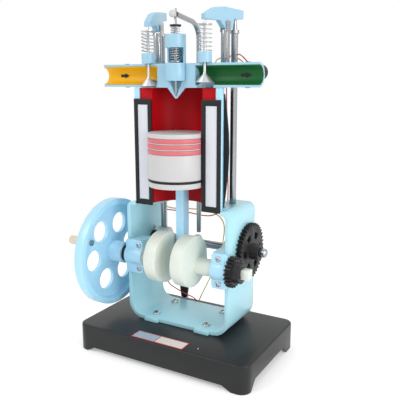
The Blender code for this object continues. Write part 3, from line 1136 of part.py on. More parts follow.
make_base()
make_frame()
make_caps()
make_cylinder()
make_jacket()
make_head()
make_ports()
make_guides_and_injector()
make_crankshaft()
make_flywheel()
make_gears()
make_camshaft()
make_piston()
make_connecting_rod()
make_valve_train("intake", -1, INTAKE_REST_LIFT)
make_valve_train("exhaust", 1, 0.0)
make_injector_works()
make_lamps_switch_wires()
for word, point in (("crank", CRANK_PIVOT), ("cam", (ENGINE_X, CAM_Y, CAM_Z)), ("rod", ROD_PIVOT),
                    ("dowel", (ENGINE_X, DOWEL_Y, DOWEL_Z)), ("piston", PISTON_PIVOT),
                    ("knob", (ENGINE_X, HANDLE_Y, HANDLE_Z)),
                    ("switch", (SWITCH_X, SWITCH_Y, FRAME_BOTTOM + SWITCH_PIVOT))):
    print(word, "pivot:", [round(v, 6) for v in Vector(point) + CENTRE_SHIFT])
for word, side in (("intake", -1), ("exhaust", 1)):
    valve, foot, along, across = train_axes(side)
    pin = valve + along * ROCKER_ARM + Vector((0, 0, ROCKER_Z))
    print(word, "rocker pin:", [round(v, 6) for v in pin + CENTRE_SHIFT],
          "across:", [round(v, 6) for v in across], "back arm:", round((foot - valve).length - ROCKER_ARM, 6))
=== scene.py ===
"""Looks of a cut-away four-stroke engine model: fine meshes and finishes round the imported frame."""
import json
import math

import bmesh
import bpy
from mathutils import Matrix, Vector


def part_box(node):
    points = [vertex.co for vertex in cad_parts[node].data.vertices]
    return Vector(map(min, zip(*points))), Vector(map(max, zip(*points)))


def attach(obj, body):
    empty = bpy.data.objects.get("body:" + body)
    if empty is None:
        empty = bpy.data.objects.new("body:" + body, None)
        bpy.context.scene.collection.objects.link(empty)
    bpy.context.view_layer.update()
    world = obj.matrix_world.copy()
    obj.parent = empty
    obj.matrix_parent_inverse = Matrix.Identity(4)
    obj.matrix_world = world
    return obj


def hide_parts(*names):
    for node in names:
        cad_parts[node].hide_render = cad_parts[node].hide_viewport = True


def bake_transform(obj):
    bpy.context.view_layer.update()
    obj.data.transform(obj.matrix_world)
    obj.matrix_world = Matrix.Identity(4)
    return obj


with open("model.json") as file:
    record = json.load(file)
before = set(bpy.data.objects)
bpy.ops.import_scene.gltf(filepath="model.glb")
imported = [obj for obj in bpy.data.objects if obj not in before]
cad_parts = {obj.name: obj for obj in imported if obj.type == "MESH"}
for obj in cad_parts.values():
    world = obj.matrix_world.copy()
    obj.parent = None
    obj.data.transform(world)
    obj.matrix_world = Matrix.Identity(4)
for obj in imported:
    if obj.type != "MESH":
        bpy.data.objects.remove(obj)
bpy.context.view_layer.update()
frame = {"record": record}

# Studio: the model stands on a plain white floor under three large soft lamps.
# The camera looks down on its front right corner, as in the photograph.
# Places here are measured from the middle of the base, on the table.
BASE_LENGTH = 0.230
BASE_WIDTH = 0.1395
BASE_HEIGHT = 0.033
low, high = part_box("base")
SHIFT = Vector(((low[0] + high[0]) / 2, (low[1] + high[1]) / 2, low[2]))

CAMERA_AZIMUTH = math.radians(29.58)
CAMERA_ELEVATION = math.radians(11.94)
CAMERA_PLACE = Vector((0.3340, -0.5545, 0.3246))
CAMERA_LENS = 50.08
SENSOR = 36.0
NEAR_CLIP = 0.01
FLOOR_HALF = 3.0
FLOOR_DROP = 0.0004
FLOOR_FADE_START = 0.35
FLOOR_FADE_END = 0.75
FLOOR_COLOUR = (0.86, 0.86, 0.87, 1)
FLOOR_ROUGHNESS = 0.9
FLOOR_GLOW = 0.33
WORLD_STRENGTH = 0.62
BACKGROUND_WHITE = (1.0, 1.0, 1.0)


def add(name, data):
    piece = bpy.data.objects.new(name, data)
    bpy.context.collection.objects.link(piece)
    return piece


camera = add("camera", bpy.data.cameras.new("camera"))
camera.data.lens = CAMERA_LENS
camera.data.sensor_width = SENSOR
camera.data.clip_start = NEAR_CLIP
camera.location = CAMERA_PLACE + SHIFT
camera.rotation_euler = (math.pi / 2 - CAMERA_ELEVATION, 0.0, CAMERA_AZIMUTH)
bpy.context.scene.camera = camera
bpy.context.scene.view_settings.view_transform = "Standard"


def filled(node, **values):
    """A node with its inputs set; an underscore stands for a blank in an input's name."""
    for label, value in values.items():
        node.inputs[label.replace("_", " ")].default_value = value
    return node


def grown(tree, kind, operation=None, second=None, **values):
    """A new node with its operation, its second input and its named inputs set."""
    node = tree.nodes.new(kind)
    if operation:
        node.operation = operation
    if second is not None:
        node.inputs[1].default_value = second
    return filled(node, **values)


def linked(tree, *joins):
    """Links from an output of one node to an input of another."""
    for source, output, target, socket in joins:
        tree.links.new(source.outputs[output], target.inputs[socket])


def sockets(tree, *rows):
    """The inputs and outputs of a node group, as (name, kind, way)."""
    for label, kind, way in rows:
        tree.interface.new_socket(label, in_out=way, socket_type=f"NodeSocket{kind}")


def background_white(tree, strength_elsewhere):
    """White for the camera, gloss and glass; a softer light for everything else."""
    path = grown(tree, "ShaderNodeLightPath")
    seen = grown(tree, "ShaderNodeMath", "MAXIMUM")
    seen_more = grown(tree, "ShaderNodeMath", "MAXIMUM")
    level = grown(tree, "ShaderNodeMapRange", To_Min=strength_elsewhere, To_Max=1.0)
    linked(tree, (path, "Is Camera Ray", seen, 0), (path, "Is Glossy Ray", seen, 1), (seen, 0, seen_more, 0),
           (path, "Is Transmission Ray", seen_more, 1), (seen_more, 0, level, "Value"))
    return level.outputs["Result"]


world = bpy.data.worlds.new("studio")
bpy.context.scene.world = world
world.use_nodes = True
sky = filled(world.node_tree.nodes["Background"], Color=(*BACKGROUND_WHITE, 1))
world.node_tree.links.new(background_white(world.node_tree, WORLD_STRENGTH), sky.inputs["Strength"])

LAMPS = (("key_lamp", (-0.9, -1.3, 1.5), 0.9, 13.5),
         ("fill_lamp", (1.5, -0.45, 0.5), 1.1, 13.5),
         ("top_lamp", (0.2, 0.5, 1.9), 1.2, 6.0))
AIM = Vector((0, 0, 0.2))
for name, place_at, size, power in LAMPS:
    lamp = add(name, bpy.data.lights.new(name, "AREA"))
    lamp.data.size = size
    lamp.data.energy = power
    lamp.location = place_at
    lamp.rotation_euler = (AIM - lamp.location).to_track_quat("-Z", "Y").to_euler()

floor_mesh = bpy.data.meshes.new("floor")
floor_corners = ((-1, -1), (1, -1), (1, 1), (-1, 1))
floor_mesh.from_pydata([(a * FLOOR_HALF, b * FLOOR_HALF, -FLOOR_DROP) for a, b in floor_corners], [],
                       [(0, 1, 2, 3)])
floor = add("floor", floor_mesh)
floor_finish = bpy.data.materials.new("pale_floor")
floor_finish.use_nodes = True
floor_tree = floor_finish.node_tree
near_floor = filled(floor_tree.nodes["Principled BSDF"], Base_Color=FLOOR_COLOUR, Roughness=FLOOR_ROUGHNESS,
                    Specular_IOR_Level=0.0, Emission_Color=(*BACKGROUND_WHITE, 1),
                    Emission_Strength=FLOOR_GLOW)
far_floor = grown(floor_tree, "ShaderNodeEmission", Color=(*BACKGROUND_WHITE, 1))
floor_place = grown(floor_tree, "ShaderNodeTexCoord")
distance = grown(floor_tree, "ShaderNodeVectorMath", "LENGTH")
fade = grown(floor_tree, "ShaderNodeMapRange", From_Min=FLOOR_FADE_START, From_Max=FLOOR_FADE_END)
fade.interpolation_type = "SMOOTHSTEP"
mixed = grown(floor_tree, "ShaderNodeMixShader")
linked(floor_tree, (floor_place, "Object", distance, 0), (distance, "Value", fade, "Value"),
       (fade, "Result", mixed, "Fac"), (near_floor, "BSDF", mixed, 1), (far_floor, "Emission", mixed, 2),
       (mixed, "Shader", floor_tree.nodes["Material Output"], "Surface"))
floor_mesh.materials.append(floor_finish)

# Base: a black moulding with a satin top, hollow below, on four corner feet.
# This first section also holds what every moulded piece shares: the skin's marks and the ways to draw it.
ENGINE_X = -0.0025
AXIS_Y = -0.016
CENTRE = (ENGINE_X, AXIS_Y)
GAP = 0.0003
RUN = 0.0006
OVER = 0.002
ROUND = 96
SMALL_ROUND = 36
SOFT_EDGE = 0.0004
SHARP = math.radians(35)
FLAT = math.radians(0.5)
MERGE = GAP / 30
COAT_ROUGHNESS = 0.15
GLOW_DEPTH = 0.004
GLOW_COLOURS = (1.0, 0.9, 0.8)
GRAIN_HEIGHT = 0.0002

marks = bpy.data.node_groups.new("moulding_marks", "ShaderNodeTree")
sockets(marks, ("Color", "Color", "INPUT"), ("Roughness", "Float", "INPUT"),
        ("Cloud Scale", "Float", "INPUT"), ("Grain Scale", "Float", "INPUT"),
        ("Variation", "Float", "INPUT"), ("Color", "Color", "OUTPUT"),
        ("Roughness", "Float", "OUTPUT"), ("Height", "Float", "OUTPUT"))
given = grown(marks, "NodeGroupInput")
result = grown(marks, "NodeGroupOutput")
where = grown(marks, "ShaderNodeTexCoord")
cloud = grown(marks, "ShaderNodeTexNoise", Detail=4.0)
grain = grown(marks, "ShaderNodeTexNoise", Detail=2.0)
centred = grown(marks, "ShaderNodeMath", "SUBTRACT", second=0.5)
amount = grown(marks, "ShaderNodeMath", "MULTIPLY")
bright = grown(marks, "ShaderNodeMath", "ADD", second=1.0)
tone = grown(marks, "ShaderNodeVectorMath", "SCALE")
rough = grown(marks, "ShaderNodeMath", "ADD")
linked(marks, (where, "Object", cloud, "Vector"), (given, "Cloud Scale", cloud, "Scale"),
       (where, "Object", grain, "Vector"), (given, "Grain Scale", grain, "Scale"),
       (cloud, "Fac", centred, 0), (centred, 0, amount, 0), (given, "Variation", amount, 1),
       (amount, 0, bright, 0), (given, "Color", tone, 0), (bright, 0, tone, "Scale"),
       (tone, 0, result, "Color"), (given, "Roughness", rough, 0), (amount, 0, rough, 1),
       (rough, 0, result, "Roughness"), (grain, "Fac", result, "Height"))


def moulded(name, colour, roughness, metallic=0.0, cloud_scale=25.0, grain_scale=1400.0, variation=0.08,
            bump=0.04, coat=0.0, subsurface=0.0, specular=0.5):
    """A finish with the marks of its making: cloudy tone, uneven gloss and a fine grain."""
    material = bpy.data.materials.new(name)
    material.use_nodes = True
    tree = material.node_tree
    shader = filled(tree.nodes["Principled BSDF"], Metallic=metallic, Coat_Weight=coat,
                    Specular_IOR_Level=specular, Coat_Roughness=COAT_ROUGHNESS)
    if subsurface:
        filled(shader, Subsurface_Weight=subsurface, Subsurface_Scale=GLOW_DEPTH,
               Subsurface_Radius=GLOW_COLOURS)
    group = grown(tree, "ShaderNodeGroup")
    group.node_tree = marks
    filled(group, Color=(*colour, 1), Roughness=roughness, Cloud_Scale=cloud_scale, Grain_Scale=grain_scale,
           Variation=variation)
    raised = grown(tree, "ShaderNodeBump", Strength=bump, Distance=GRAIN_HEIGHT)
    linked(tree, (group, "Color", shader, "Base Color"), (group, "Roughness", shader, "Roughness"),
           (group, "Height", raised, "Height"), (raised, "Normal", shader, "Normal"))
    return material


def blue_moulded(name, colour, roughness):
    """The light-blue plastic of the larger parts: even in tone, glossy, and a little light passes into it."""
    return moulded(name, colour, roughness, cloud_scale=18.0, variation=0.05, bump=0.03, coat=0.1,
                   subsurface=0.12)


BODY_OF = {node: body for body, nodes in frame["record"]["behaviour"]["bodies"].items() for node in nodes}


def settle(piece, body, nodes=()):
    """Let a piece ride on a body and stand for its solids."""
    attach(piece, body)
    if nodes:
        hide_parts(*nodes)
    return piece


def applied(piece):
    """A plain mesh from a piece as its modifiers leave it."""
    graph = bpy.context.evaluated_depsgraph_get()
    mesh = bpy.data.meshes.new_from_object(piece.evaluated_get(graph))
    piece.modifiers.clear()
    if piece.type == "MESH":
        piece.data = mesh
    return mesh


def smooth(mesh):
    mesh.shade_smooth()
    mesh.set_sharp_from_angle(angle=SHARP)


def combined(piece, cuts=(), joins=()):
    """A piece's mesh, joined with some meshes and cut by others."""
    tools = []
    for kind, meshes in (("UNION", joins), ("DIFFERENCE", cuts)):
        for mesh in meshes:
            tools.append(add("tool", mesh))
            modifier = piece.modifiers.new(kind, "BOOLEAN")
            modifier.operation, modifier.object, modifier.solver = kind, tools[-1], "EXACT"
    mesh = applied(piece) if tools else piece.data
    for tool in tools:
        bpy.data.objects.remove(tool)
    return mesh


def solid(name, mesh, material, cuts=(), joins=(), edge=SOFT_EDGE, trim_of=None):
    """A finished piece that stands for the solid of its name, or a trim on another solid's body."""
    piece = add(f"{name}_part", mesh)
    mesh = combined(piece, cuts, joins)
    work = bmesh.new()
    work.from_mesh(mesh)
    bmesh.ops.translate(work, vec=SHIFT, verts=work.verts)
    bmesh.ops.remove_doubles(work, verts=work.verts, dist=MERGE)
    bmesh.ops.dissolve_limit(work, angle_limit=FLAT, verts=work.verts, edges=work.edges)
    work.to_mesh(mesh)
    work.free()
    mesh.materials.clear()
    mesh.materials.append(material)
    if edge:
        bevel = piece.modifiers.new("soft_edges", "BEVEL")
        bevel.width, bevel.segments, bevel.use_clamp_overlap = edge, 2, True
        bevel.limit_method, bevel.angle_limit = "ANGLE", SHARP
        mesh = applied(piece)
    smooth(mesh)
    owner = trim_of or name
    return settle(piece, BODY_OF[owner], () if trim_of else (name,))


def closed_mesh(name, build):
    """A mesh from a bmesh builder, with its faces turned outwards."""
    work = bmesh.new()
    build(work)
    bmesh.ops.recalc_face_normals(work, faces=work.faces)
    mesh = bpy.data.meshes.new(name)
    work.to_mesh(mesh)
    work.free()
    return mesh


def loft(rings, closed=False):
    """Skin over rings of equally many points, capped at both ends unless the last meets the first."""
    def build(work):
        rows = [[work.verts.new(point) for point in ring] for ring in rings]
        pairs = list(zip(rows, rows[1:]))
        if closed:
            pairs.append((rows[-1], rows[0]))
        for low, high in pairs:
            for index in range(len(low)):
                after = (index + 1) % len(low)
                work.faces.new((low[index], low[after], high[after], high[index]))
        if not closed:
            work.faces.new(rows[0])
            work.faces.new(rows[-1])
    return closed_mesh("loft", build)


AXES = {"X": (1, 2, 0), "Y": (0, 2, 1), "Z": (0, 1, 2)}


def place(axis, centre, across, up, along):
    """The point at (across, up) from an axis through centre, at a coordinate along it."""
    first, second, third = AXES[axis]
    point = [0.0, 0.0, 0.0]
    point[first] = centre[0] + across
    point[second] = centre[1] + up
    point[third] = along
    return point


def circle(radius, sides=ROUND, start=0.0, turn=2 * math.pi, centre=(0, 0)):
    """Points of a circle, or of an arc with both its ends when turn is less than a full one."""
    full = abs(turn) > 2 * math.pi - 1e-6
    steps = sides if full else sides - 1
    return [(centre[0] + radius * math.cos(start + turn * i / steps),
             centre[1] + radius * math.sin(start + turn * i / steps)) for i in range(sides)]


def turned(axis, centre, profile, sides=ROUND, closed=False):
    """A round piece: profile holds (place along the axis, radius)."""
    return loft([[place(axis, centre, a, b, along) for a, b in circle(radius, sides)]
                 for along, radius in profile], closed)


def stepped(start, *steps):
    """A profile in steps: each radius holds from the step before to its own end."""
    profile = []
    for radius, end in steps:
        profile += [(start, radius), (end, radius)]
        start = end
    return profile


def rod(axis, centre, low, high, radius, sides=SMALL_ROUND):
    return turned(axis, centre, stepped(low, (radius, high)), sides)


def tube(axis, centre, low, high, outer, inner, sides=ROUND):
    return turned(axis, centre, stepped(low, (outer, high), (inner, low)), sides, True)


def prism(axis, outline, low, high, centre=(0, 0)):
    """An outline drawn across the axis and drawn out along it."""
    return loft([[place(axis, centre, a, b, along) for a, b in outline] for along in (low, high)])


def rectangle(low, high):
    return [(low[0], low[1]), (high[0], low[1]), (high[0], high[1]), (low[0], high[1])]


def box(low, high):
    return prism("Z", rectangle(low, high), low[2], high[2])


def slab(half_width, front, back, low, high):
    """A box centred across the engine."""
    return box((ENGINE_X - half_width, front, low), (ENGINE_X + half_width, back, high))


def rounded(low, high, radii, sides=6):
    """A rectangle with a radius for each corner: low-left, low-right, high-right, high-left."""
    corners = ((low[0], low[1], 1, 1, math.pi), (high[0], low[1], -1, 1, -math.pi / 2),
               (high[0], high[1], -1, -1, 0.0), (low[0], high[1], 1, -1, math.pi / 2))
    points = []
    for (x, y, toward_x, toward_y, start), radius in zip(corners, radii):
        points += circle(radius, sides, start, math.pi / 2, (x + toward_x * radius, y + toward_y * radius))
    return points


def plate(axis, outlines, low, high, centre=(0, 0)):
    """A flat piece with holes: the first outline is its rim and the others are its holes."""
    def build(work):
        edges = []
        for outline in outlines:
            row = [work.verts.new(place(axis, centre, a, b, low)) for a, b in outline]
            edges += [work.edges.new((row[i], row[(i + 1) % len(row)])) for i in range(len(row))]
        bmesh.ops.triangle_fill(work, use_beauty=True, use_dissolve=False, edges=edges)
        made = bmesh.ops.extrude_face_region(work, geom=list(work.faces))
        rise = [0.0, 0.0, 0.0]
        rise[AXES[axis][2]] = high - low
        bmesh.ops.translate(work, vec=rise,
                            verts=[v for v in made["geom"] if isinstance(v, bmesh.types.BMVert)])
    return closed_mesh("plate", build)


BASE_CORNER = 0.012
BASE_INNER_CORNER = 0.026
BASE_FILLET = 0.0016
BASE_WALL = 0.004
BASE_FOOT_LEFT = 0.014
BASE_FOOT_RIGHT = 0.019
BASE_FOOT_FRONT = 0.0118
BASE_FOOT_BACK = 0.0238
BASE_FOOT_SLANT = 0.011
FRONT_ARCH_HEIGHT = 0.0055
SIDE_ARCH_HEIGHT = 0.0108
FILLET_SHARES = ((0, 0), (0.5, 0.13), (0.87, 0.5), (1, 1))


def arch(low, high, height):
    """The outline of the opening between two feet."""
    return [(low, -OVER), (low, 0), (low + BASE_FOOT_SLANT, height), (high - BASE_FOOT_SLANT, height),
            (high, 0), (high, -OVER)]


def make_base():
    half_x, half_y = BASE_LENGTH / 2, BASE_WIDTH / 2
    rings = [[(a, b, 0) for a, b in rounded((-half_x, -half_y), (half_x, half_y), [BASE_CORNER] * 4)]]
    for rise_share, inset_share in FILLET_SHARES:
        inset = inset_share * BASE_FILLET
        outline = rounded((inset - half_x, inset - half_y), (half_x - inset, half_y - inset),
                          [BASE_CORNER - inset] * 4)
        level = BASE_HEIGHT - BASE_FILLET + rise_share * BASE_FILLET
        rings.append([(a, b, level) for a, b in outline])
    inner_x, inner_y = half_x - BASE_WALL, half_y - BASE_WALL
    hollow = prism("Z", rounded((-inner_x, -inner_y), (inner_x, inner_y), [BASE_INNER_CORNER] * 4),
                   -OVER, BASE_HEIGHT - BASE_WALL)
    left, right = BASE_FOOT_LEFT - half_x, half_x - BASE_FOOT_RIGHT
    front_arch = prism("Y", arch(left, right, FRONT_ARCH_HEIGHT), -half_y - OVER, half_y + OVER)
    near, far = BASE_FOOT_FRONT - half_y, half_y - BASE_FOOT_BACK
    side_arch = prism("X", arch(near, far, SIDE_ARCH_HEIGHT), -half_x - OVER, half_x + OVER)
    solid("base", loft(rings), BASE_FINISH, cuts=(hollow, front_arch, side_arch))


LABEL_LOW = (-0.036, -0.0672)
LABEL_HIGH = (0.034, -0.0500)
LABEL_MIDDLE = -0.004
LABEL_RIM = 0.0013
LABEL_THICKNESS = 0.0003
STUD_PLACE = (0.0487, -0.0564)
STUD_RADIUS = 0.0007
SCREW_HEAD_HEIGHT = 0.62
SCREW_CROSS_WIDTH = 0.30
SCREW_CROSS_REACH = 0.66
DOME_STEPS = 8
DOME_STEP_ANGLE = math.radians(10)


def make_label():
    """A bare label in two halves with a red border on the base, and a tiny stud beside it."""
    (left, front), (right, back) = LABEL_LOW, LABEL_HIGH
    top = BASE_HEIGHT + LABEL_THICKNESS
    solid("label_border", box((left, front, BASE_HEIGHT), (right, back, top)), LABEL_RED, edge=0,
          trim_of="base")
    half_rim, raised = LABEL_RIM / 2, top + LABEL_THICKNESS / 3
    for name, start, end, finish in (
            ("label_left_half", left + LABEL_RIM, LABEL_MIDDLE - half_rim, LABEL_BLUE),
            ("label_right_half", LABEL_MIDDLE + half_rim, right - LABEL_RIM, LABEL_PALE)):
        solid(name, box((start, front + LABEL_RIM, BASE_HEIGHT), (end, back - LABEL_RIM, raised)), finish,
              edge=0, trim_of="base")
    stud = rod("Z", STUD_PLACE, BASE_HEIGHT, BASE_HEIGHT + STUD_RADIUS, STUD_RADIUS)
    solid("base_stud", stud, LABEL_PALE, edge=0, trim_of="base")


screw_tree = bpy.data.node_groups.new("screws_on_points", "GeometryNodeTree")
sockets(screw_tree, ("Points", "Geometry", "INPUT"), ("Screw", "Object", "INPUT"),
        ("Facing", "Vector", "INPUT"), ("Size", "Float", "INPUT"), ("Seed", "Int", "INPUT"),
        ("Finish", "Material", "INPUT"), ("Screws", "Geometry", "OUTPUT"))
screw_input = grown(screw_tree, "NodeGroupInput")
screw_output = grown(screw_tree, "NodeGroupOutput")
screw_object = grown(screw_tree, "GeometryNodeObjectInfo")
screw_facing = grown(screw_tree, "FunctionNodeEulerToRotation")
screw_place = grown(screw_tree, "GeometryNodeInstanceOnPoints")
screw_chance = grown(screw_tree, "FunctionNodeRandomValue")
screw_chance.data_type = "FLOAT"
screw_chance.inputs[3].default_value = math.pi
screw_angle = grown(screw_tree, "ShaderNodeCombineXYZ")
screw_turn = grown(screw_tree, "GeometryNodeRotateInstances")
screw_real = grown(screw_tree, "GeometryNodeRealizeInstances")
screw_finish = grown(screw_tree, "GeometryNodeSetMaterial")
linked(screw_tree, (screw_input, "Points", screw_place, "Points"),
       (screw_input, "Screw", screw_object, "Object"),
       (screw_object, "Geometry", screw_place, "Instance"), (screw_input, "Facing", screw_facing, 0),
       (screw_facing, 0, screw_place, "Rotation"), (screw_input, "Size", screw_place, "Scale"),
       (screw_input, "Seed", screw_chance, "Seed"), (screw_chance, 1, screw_angle, "Z"),
       (screw_place, "Instances", screw_turn, "Instances"), (screw_angle, 0, screw_turn, "Rotation"),
       (screw_turn, "Instances", screw_real, "Geometry"), (screw_real, "Geometry", screw_finish, "Geometry"),
       (screw_input, "Finish", screw_finish, "Material"), (screw_finish, "Geometry", screw_output, "Screws"))


def screw_head():
    """A domed head of unit radius with a cross recess, standing on the ground."""
    dome = [(0, 1.0), (SCREW_HEAD_HEIGHT / 3, 1.0)]
    for step in range(1, DOME_STEPS):
        angle = step * DOME_STEP_ANGLE
        dome.append((SCREW_HEAD_HEIGHT / 3 * (1 + 2 * math.sin(angle)), math.cos(angle)))
    head = add("screw_head", turned("Z", (0, 0), dome, SMALL_ROUND))
    half, reach, floor_z = SCREW_CROSS_WIDTH / 2, SCREW_CROSS_REACH, SCREW_HEAD_HEIGHT / 5
    combined(head, [box((-a, -b, floor_z), (a, b, 1)) for a, b in ((reach, half), (half, reach))])
    return head


def cross_screws(name, owner, places, facing, radius, seed):
    """Cross-head screws of one size on a piece, each turned by chance about its own axis."""
    mesh = bpy.data.meshes.new(f"{name}_points")
    mesh.from_pydata([Vector(p) + SHIFT for p in places], [], [])
    piece = add(f"{name}_part", mesh)
    head = screw_head()
    modifier = piece.modifiers.new("screws", "NODES")
    modifier.node_group = screw_tree
    for label, value in (("Screw", head), ("Facing", facing), ("Size", radius), ("Seed", seed),
                         ("Finish", SCREW_STEEL)):
        socket = screw_tree.interface.items_tree[label]
        modifier[socket.identifier] = value
    smooth(applied(piece))
    bpy.data.objects.remove(head)
    return settle(piece, BODY_OF[owner])


BASE_FINISH = moulded("base_plastic", (0.0145, 0.015, 0.0155), 0.34, cloud_scale=14.0, grain_scale=2600.0,
                      variation=0.12, bump=0.10, specular=0.3)
LABEL_RED = moulded("label_red", (0.50, 0.02, 0.03), 0.5, variation=0.05)
LABEL_BLUE = moulded("label_grey_blue", (0.36, 0.44, 0.52), 0.5, cloud_scale=300.0, variation=0.5)
LABEL_PALE = moulded("label_pale", (0.74, 0.68, 0.62), 0.5, cloud_scale=260.0, variation=0.15)
SCREW_STEEL = moulded("screw_steel", (0.50, 0.51, 0.52), 0.28, metallic=1.0, cloud_scale=120.0, variation=0.2)
make_base()
make_label()

# Crankcase frame: one band of light-blue plastic, screwed to the base, open at the front and back.
# Its two pedestals carry the crankshaft, and its side walls carry the camshaft.
CRANK_Z = 0.115
CRANK_THROW = 0.0155
CRANK_REST = math.radians(50)
FRAME_TOP_Z = 0.183
ROD_OFFSET = 0.049
GEAR_MODULE = 0.00162
CRANK_TEETH = 20
CAM_TEETH = 40
CAM_RISE = math.radians(14.5)
CENTRE_DISTANCE = GEAR_MODULE * (CRANK_TEETH + CAM_TEETH) / 2
CAM_Y = AXIS_Y + CENTRE_DISTANCE * math.cos(CAM_RISE)
CAM_Z = CRANK_Z + CENTRE_DISTANCE * math.sin(CAM_RISE)
PIN_Y = AXIS_Y + CRANK_THROW * math.sin(CRANK_REST)
PIN_Z = CRANK_Z - CRANK_THROW * math.cos(CRANK_REST)
CRANK_AXIS = (AXIS_Y, CRANK_Z)
CAM_AXIS = (CAM_Y, CAM_Z)
PIN_AXIS = (PIN_Y, PIN_Z)
FRAME_LEFT = -0.073
FRAME_RIGHT = 0.0667
FRAME_FRONT = -0.019
FRAME_BACK = 0.052
FRAME_WALL = 0.0045
FRAME_FOOT_RADIUS = 0.020
FRAME_TOP_RADIUS = 0.009
FRAME_THROAT = 0.036
GATE_HALF = 0.0580
GATE_BACK = 0.0
FRAME_BOTTOM = BASE_HEIGHT + GAP
TAB_WIDTH = 0.019
TAB_REACH = 0.004
TAB_OFFSET = 0.0355
JOURNAL_RADIUS = 0.0100
LEFT_CAP_WIDTH = 0.0245
RIGHT_CAP_WIDTH = 0.0197
CAP_HALF_HEIGHT = 0.0210
CAP_FOOT_Z = CRANK_Z - CAP_HALF_HEIGHT
CAP_TOP_Z = CRANK_Z + CAP_HALF_HEIGHT
PEDESTAL_BACK = 0.0
SHAFT_RADIUS = 0.005
GUIDE_RADIUS = 0.0040
FRAME_EDGE = 0.0007


def guide_holes(low, high):
    """Cutters for the two push-rod tubes."""
    return [rod("Z", (ENGINE_X + side * ROD_OFFSET, CAM_Y), low, high, GUIDE_RADIUS + GAP)
            for side in (-1, 1)]


def make_frame():
    radii = [FRAME_FOOT_RADIUS] * 2 + [FRAME_TOP_RADIUS] * 2
    outer = rounded((FRAME_LEFT, FRAME_BOTTOM), (FRAME_RIGHT, FRAME_TOP_Z), radii)
    inner = rounded((FRAME_LEFT + FRAME_WALL, FRAME_BOTTOM + FRAME_WALL),
                    (FRAME_RIGHT - FRAME_WALL, FRAME_TOP_Z - FRAME_WALL), [r - FRAME_WALL for r in radii])
    band = prism("Y", outer, FRAME_FRONT, FRAME_BACK)
    tabs = [box((ENGINE_X + side * TAB_OFFSET - TAB_WIDTH / 2, FRAME_FRONT - TAB_REACH, FRAME_BOTTOM),
                (ENGINE_X + side * TAB_OFFSET + TAB_WIDTH / 2, FRAME_FRONT + FRAME_WALL,
                 FRAME_BOTTOM + FRAME_WALL - GAP)) for side in (-1, 1)]
    ends = ((FRAME_LEFT + GAP, FRAME_LEFT + LEFT_CAP_WIDTH),
            (FRAME_RIGHT - RIGHT_CAP_WIDTH, FRAME_RIGHT - GAP))
    pedestals = [box((left, FRAME_FRONT + GAP, CAP_FOOT_Z), (right, PEDESTAL_BACK, CAP_TOP_Z))
                 for left, right in ends]
    hollow = prism("Y", inner, FRAME_FRONT - OVER, FRAME_BACK + OVER)
    above, below = FRAME_TOP_Z + OVER, FRAME_TOP_Z - 2 * FRAME_WALL
    throat = slab(FRAME_THROAT, FRAME_FRONT - OVER, FRAME_BACK + OVER, below, above)
    gate = slab(GATE_HALF, FRAME_FRONT - OVER, GATE_BACK, below, above)
    bore = JOURNAL_RADIUS + GAP
    journal = rod("X", CRANK_AXIS, FRAME_LEFT - OVER, FRAME_RIGHT + OVER, bore, ROUND)
    notch = box((FRAME_LEFT - OVER, FRAME_FRONT - OVER, CRANK_Z - bore),
                (FRAME_RIGHT + OVER, AXIS_Y, CRANK_Z + bore))
    shaft = rod("X", CAM_AXIS, FRAME_LEFT - OVER, FRAME_RIGHT + OVER, SHAFT_RADIUS + GAP)
    shell = add("tool", band)
    mesh = combined(shell, [hollow])
    bpy.data.objects.remove(shell)
    solid("crankcase_frame", mesh, TEAL,
          cuts=[throat, gate, journal, notch, shaft] + guide_holes(below, above),
          joins=tabs + pedestals, edge=FRAME_EDGE)


FLOOR_SCREWS = ((-0.0404, -0.0060), (0.0316, -0.0060), (-0.0404, 0.0370), (0.0316, 0.0370))
FLOOR_SCREW_RADIUS = 0.0047
WALL_SCREW = (0.0336, 0.139)
WALL_SCREW_RADIUS = 0.0028
BUSHING_RADIUS = 0.0080
BUSHING_WIDTH = 0.0030


def make_frame_details():
    """The screws that hold the frame down, one on its left wall, and a black bushing for the camshaft."""
    inside = FRAME_LEFT + FRAME_WALL
    floor_places = [(x, y, FRAME_BOTTOM + FRAME_WALL) for x, y in FLOOR_SCREWS]
    cross_screws("frame_screws", "crankcase_frame", floor_places, (0, 0, 0), FLOOR_SCREW_RADIUS, 1)
    cross_screws("wall_screw", "crankcase_frame", [(inside, *WALL_SCREW)], (0, math.pi / 2, 0),
                 WALL_SCREW_RADIUS, 2)
    solid("camshaft_bushing", tube("X", CAM_AXIS, inside, inside + BUSHING_WIDTH, BUSHING_RADIUS,
                                   SHAFT_RADIUS + GAP), BASE_FINISH, trim_of="crankcase_frame")


BLUE = blue_moulded("blue_plastic", (0.42, 0.725, 0.92), 0.30)
TEAL = blue_moulded("frame_plastic", (0.40, 0.71, 0.80), 0.30)
make_frame()
make_frame_details()

# Bearing caps: two flanged half-round caps of the same plastic, each held by two cross-head screws.
# They close the crankshaft's bearings in front.
CAP_FLANGE = 0.004
CAP_BULGE_RADIUS = 0.0124
CAP_CORNER = 0.0045
CAP_SCREWS_X = (-0.0537, 0.0560)
CAP_SCREW_RISE = 0.0148
CAP_SCREW_RADIUS = 0.0033
CORNER_SIDES = 16


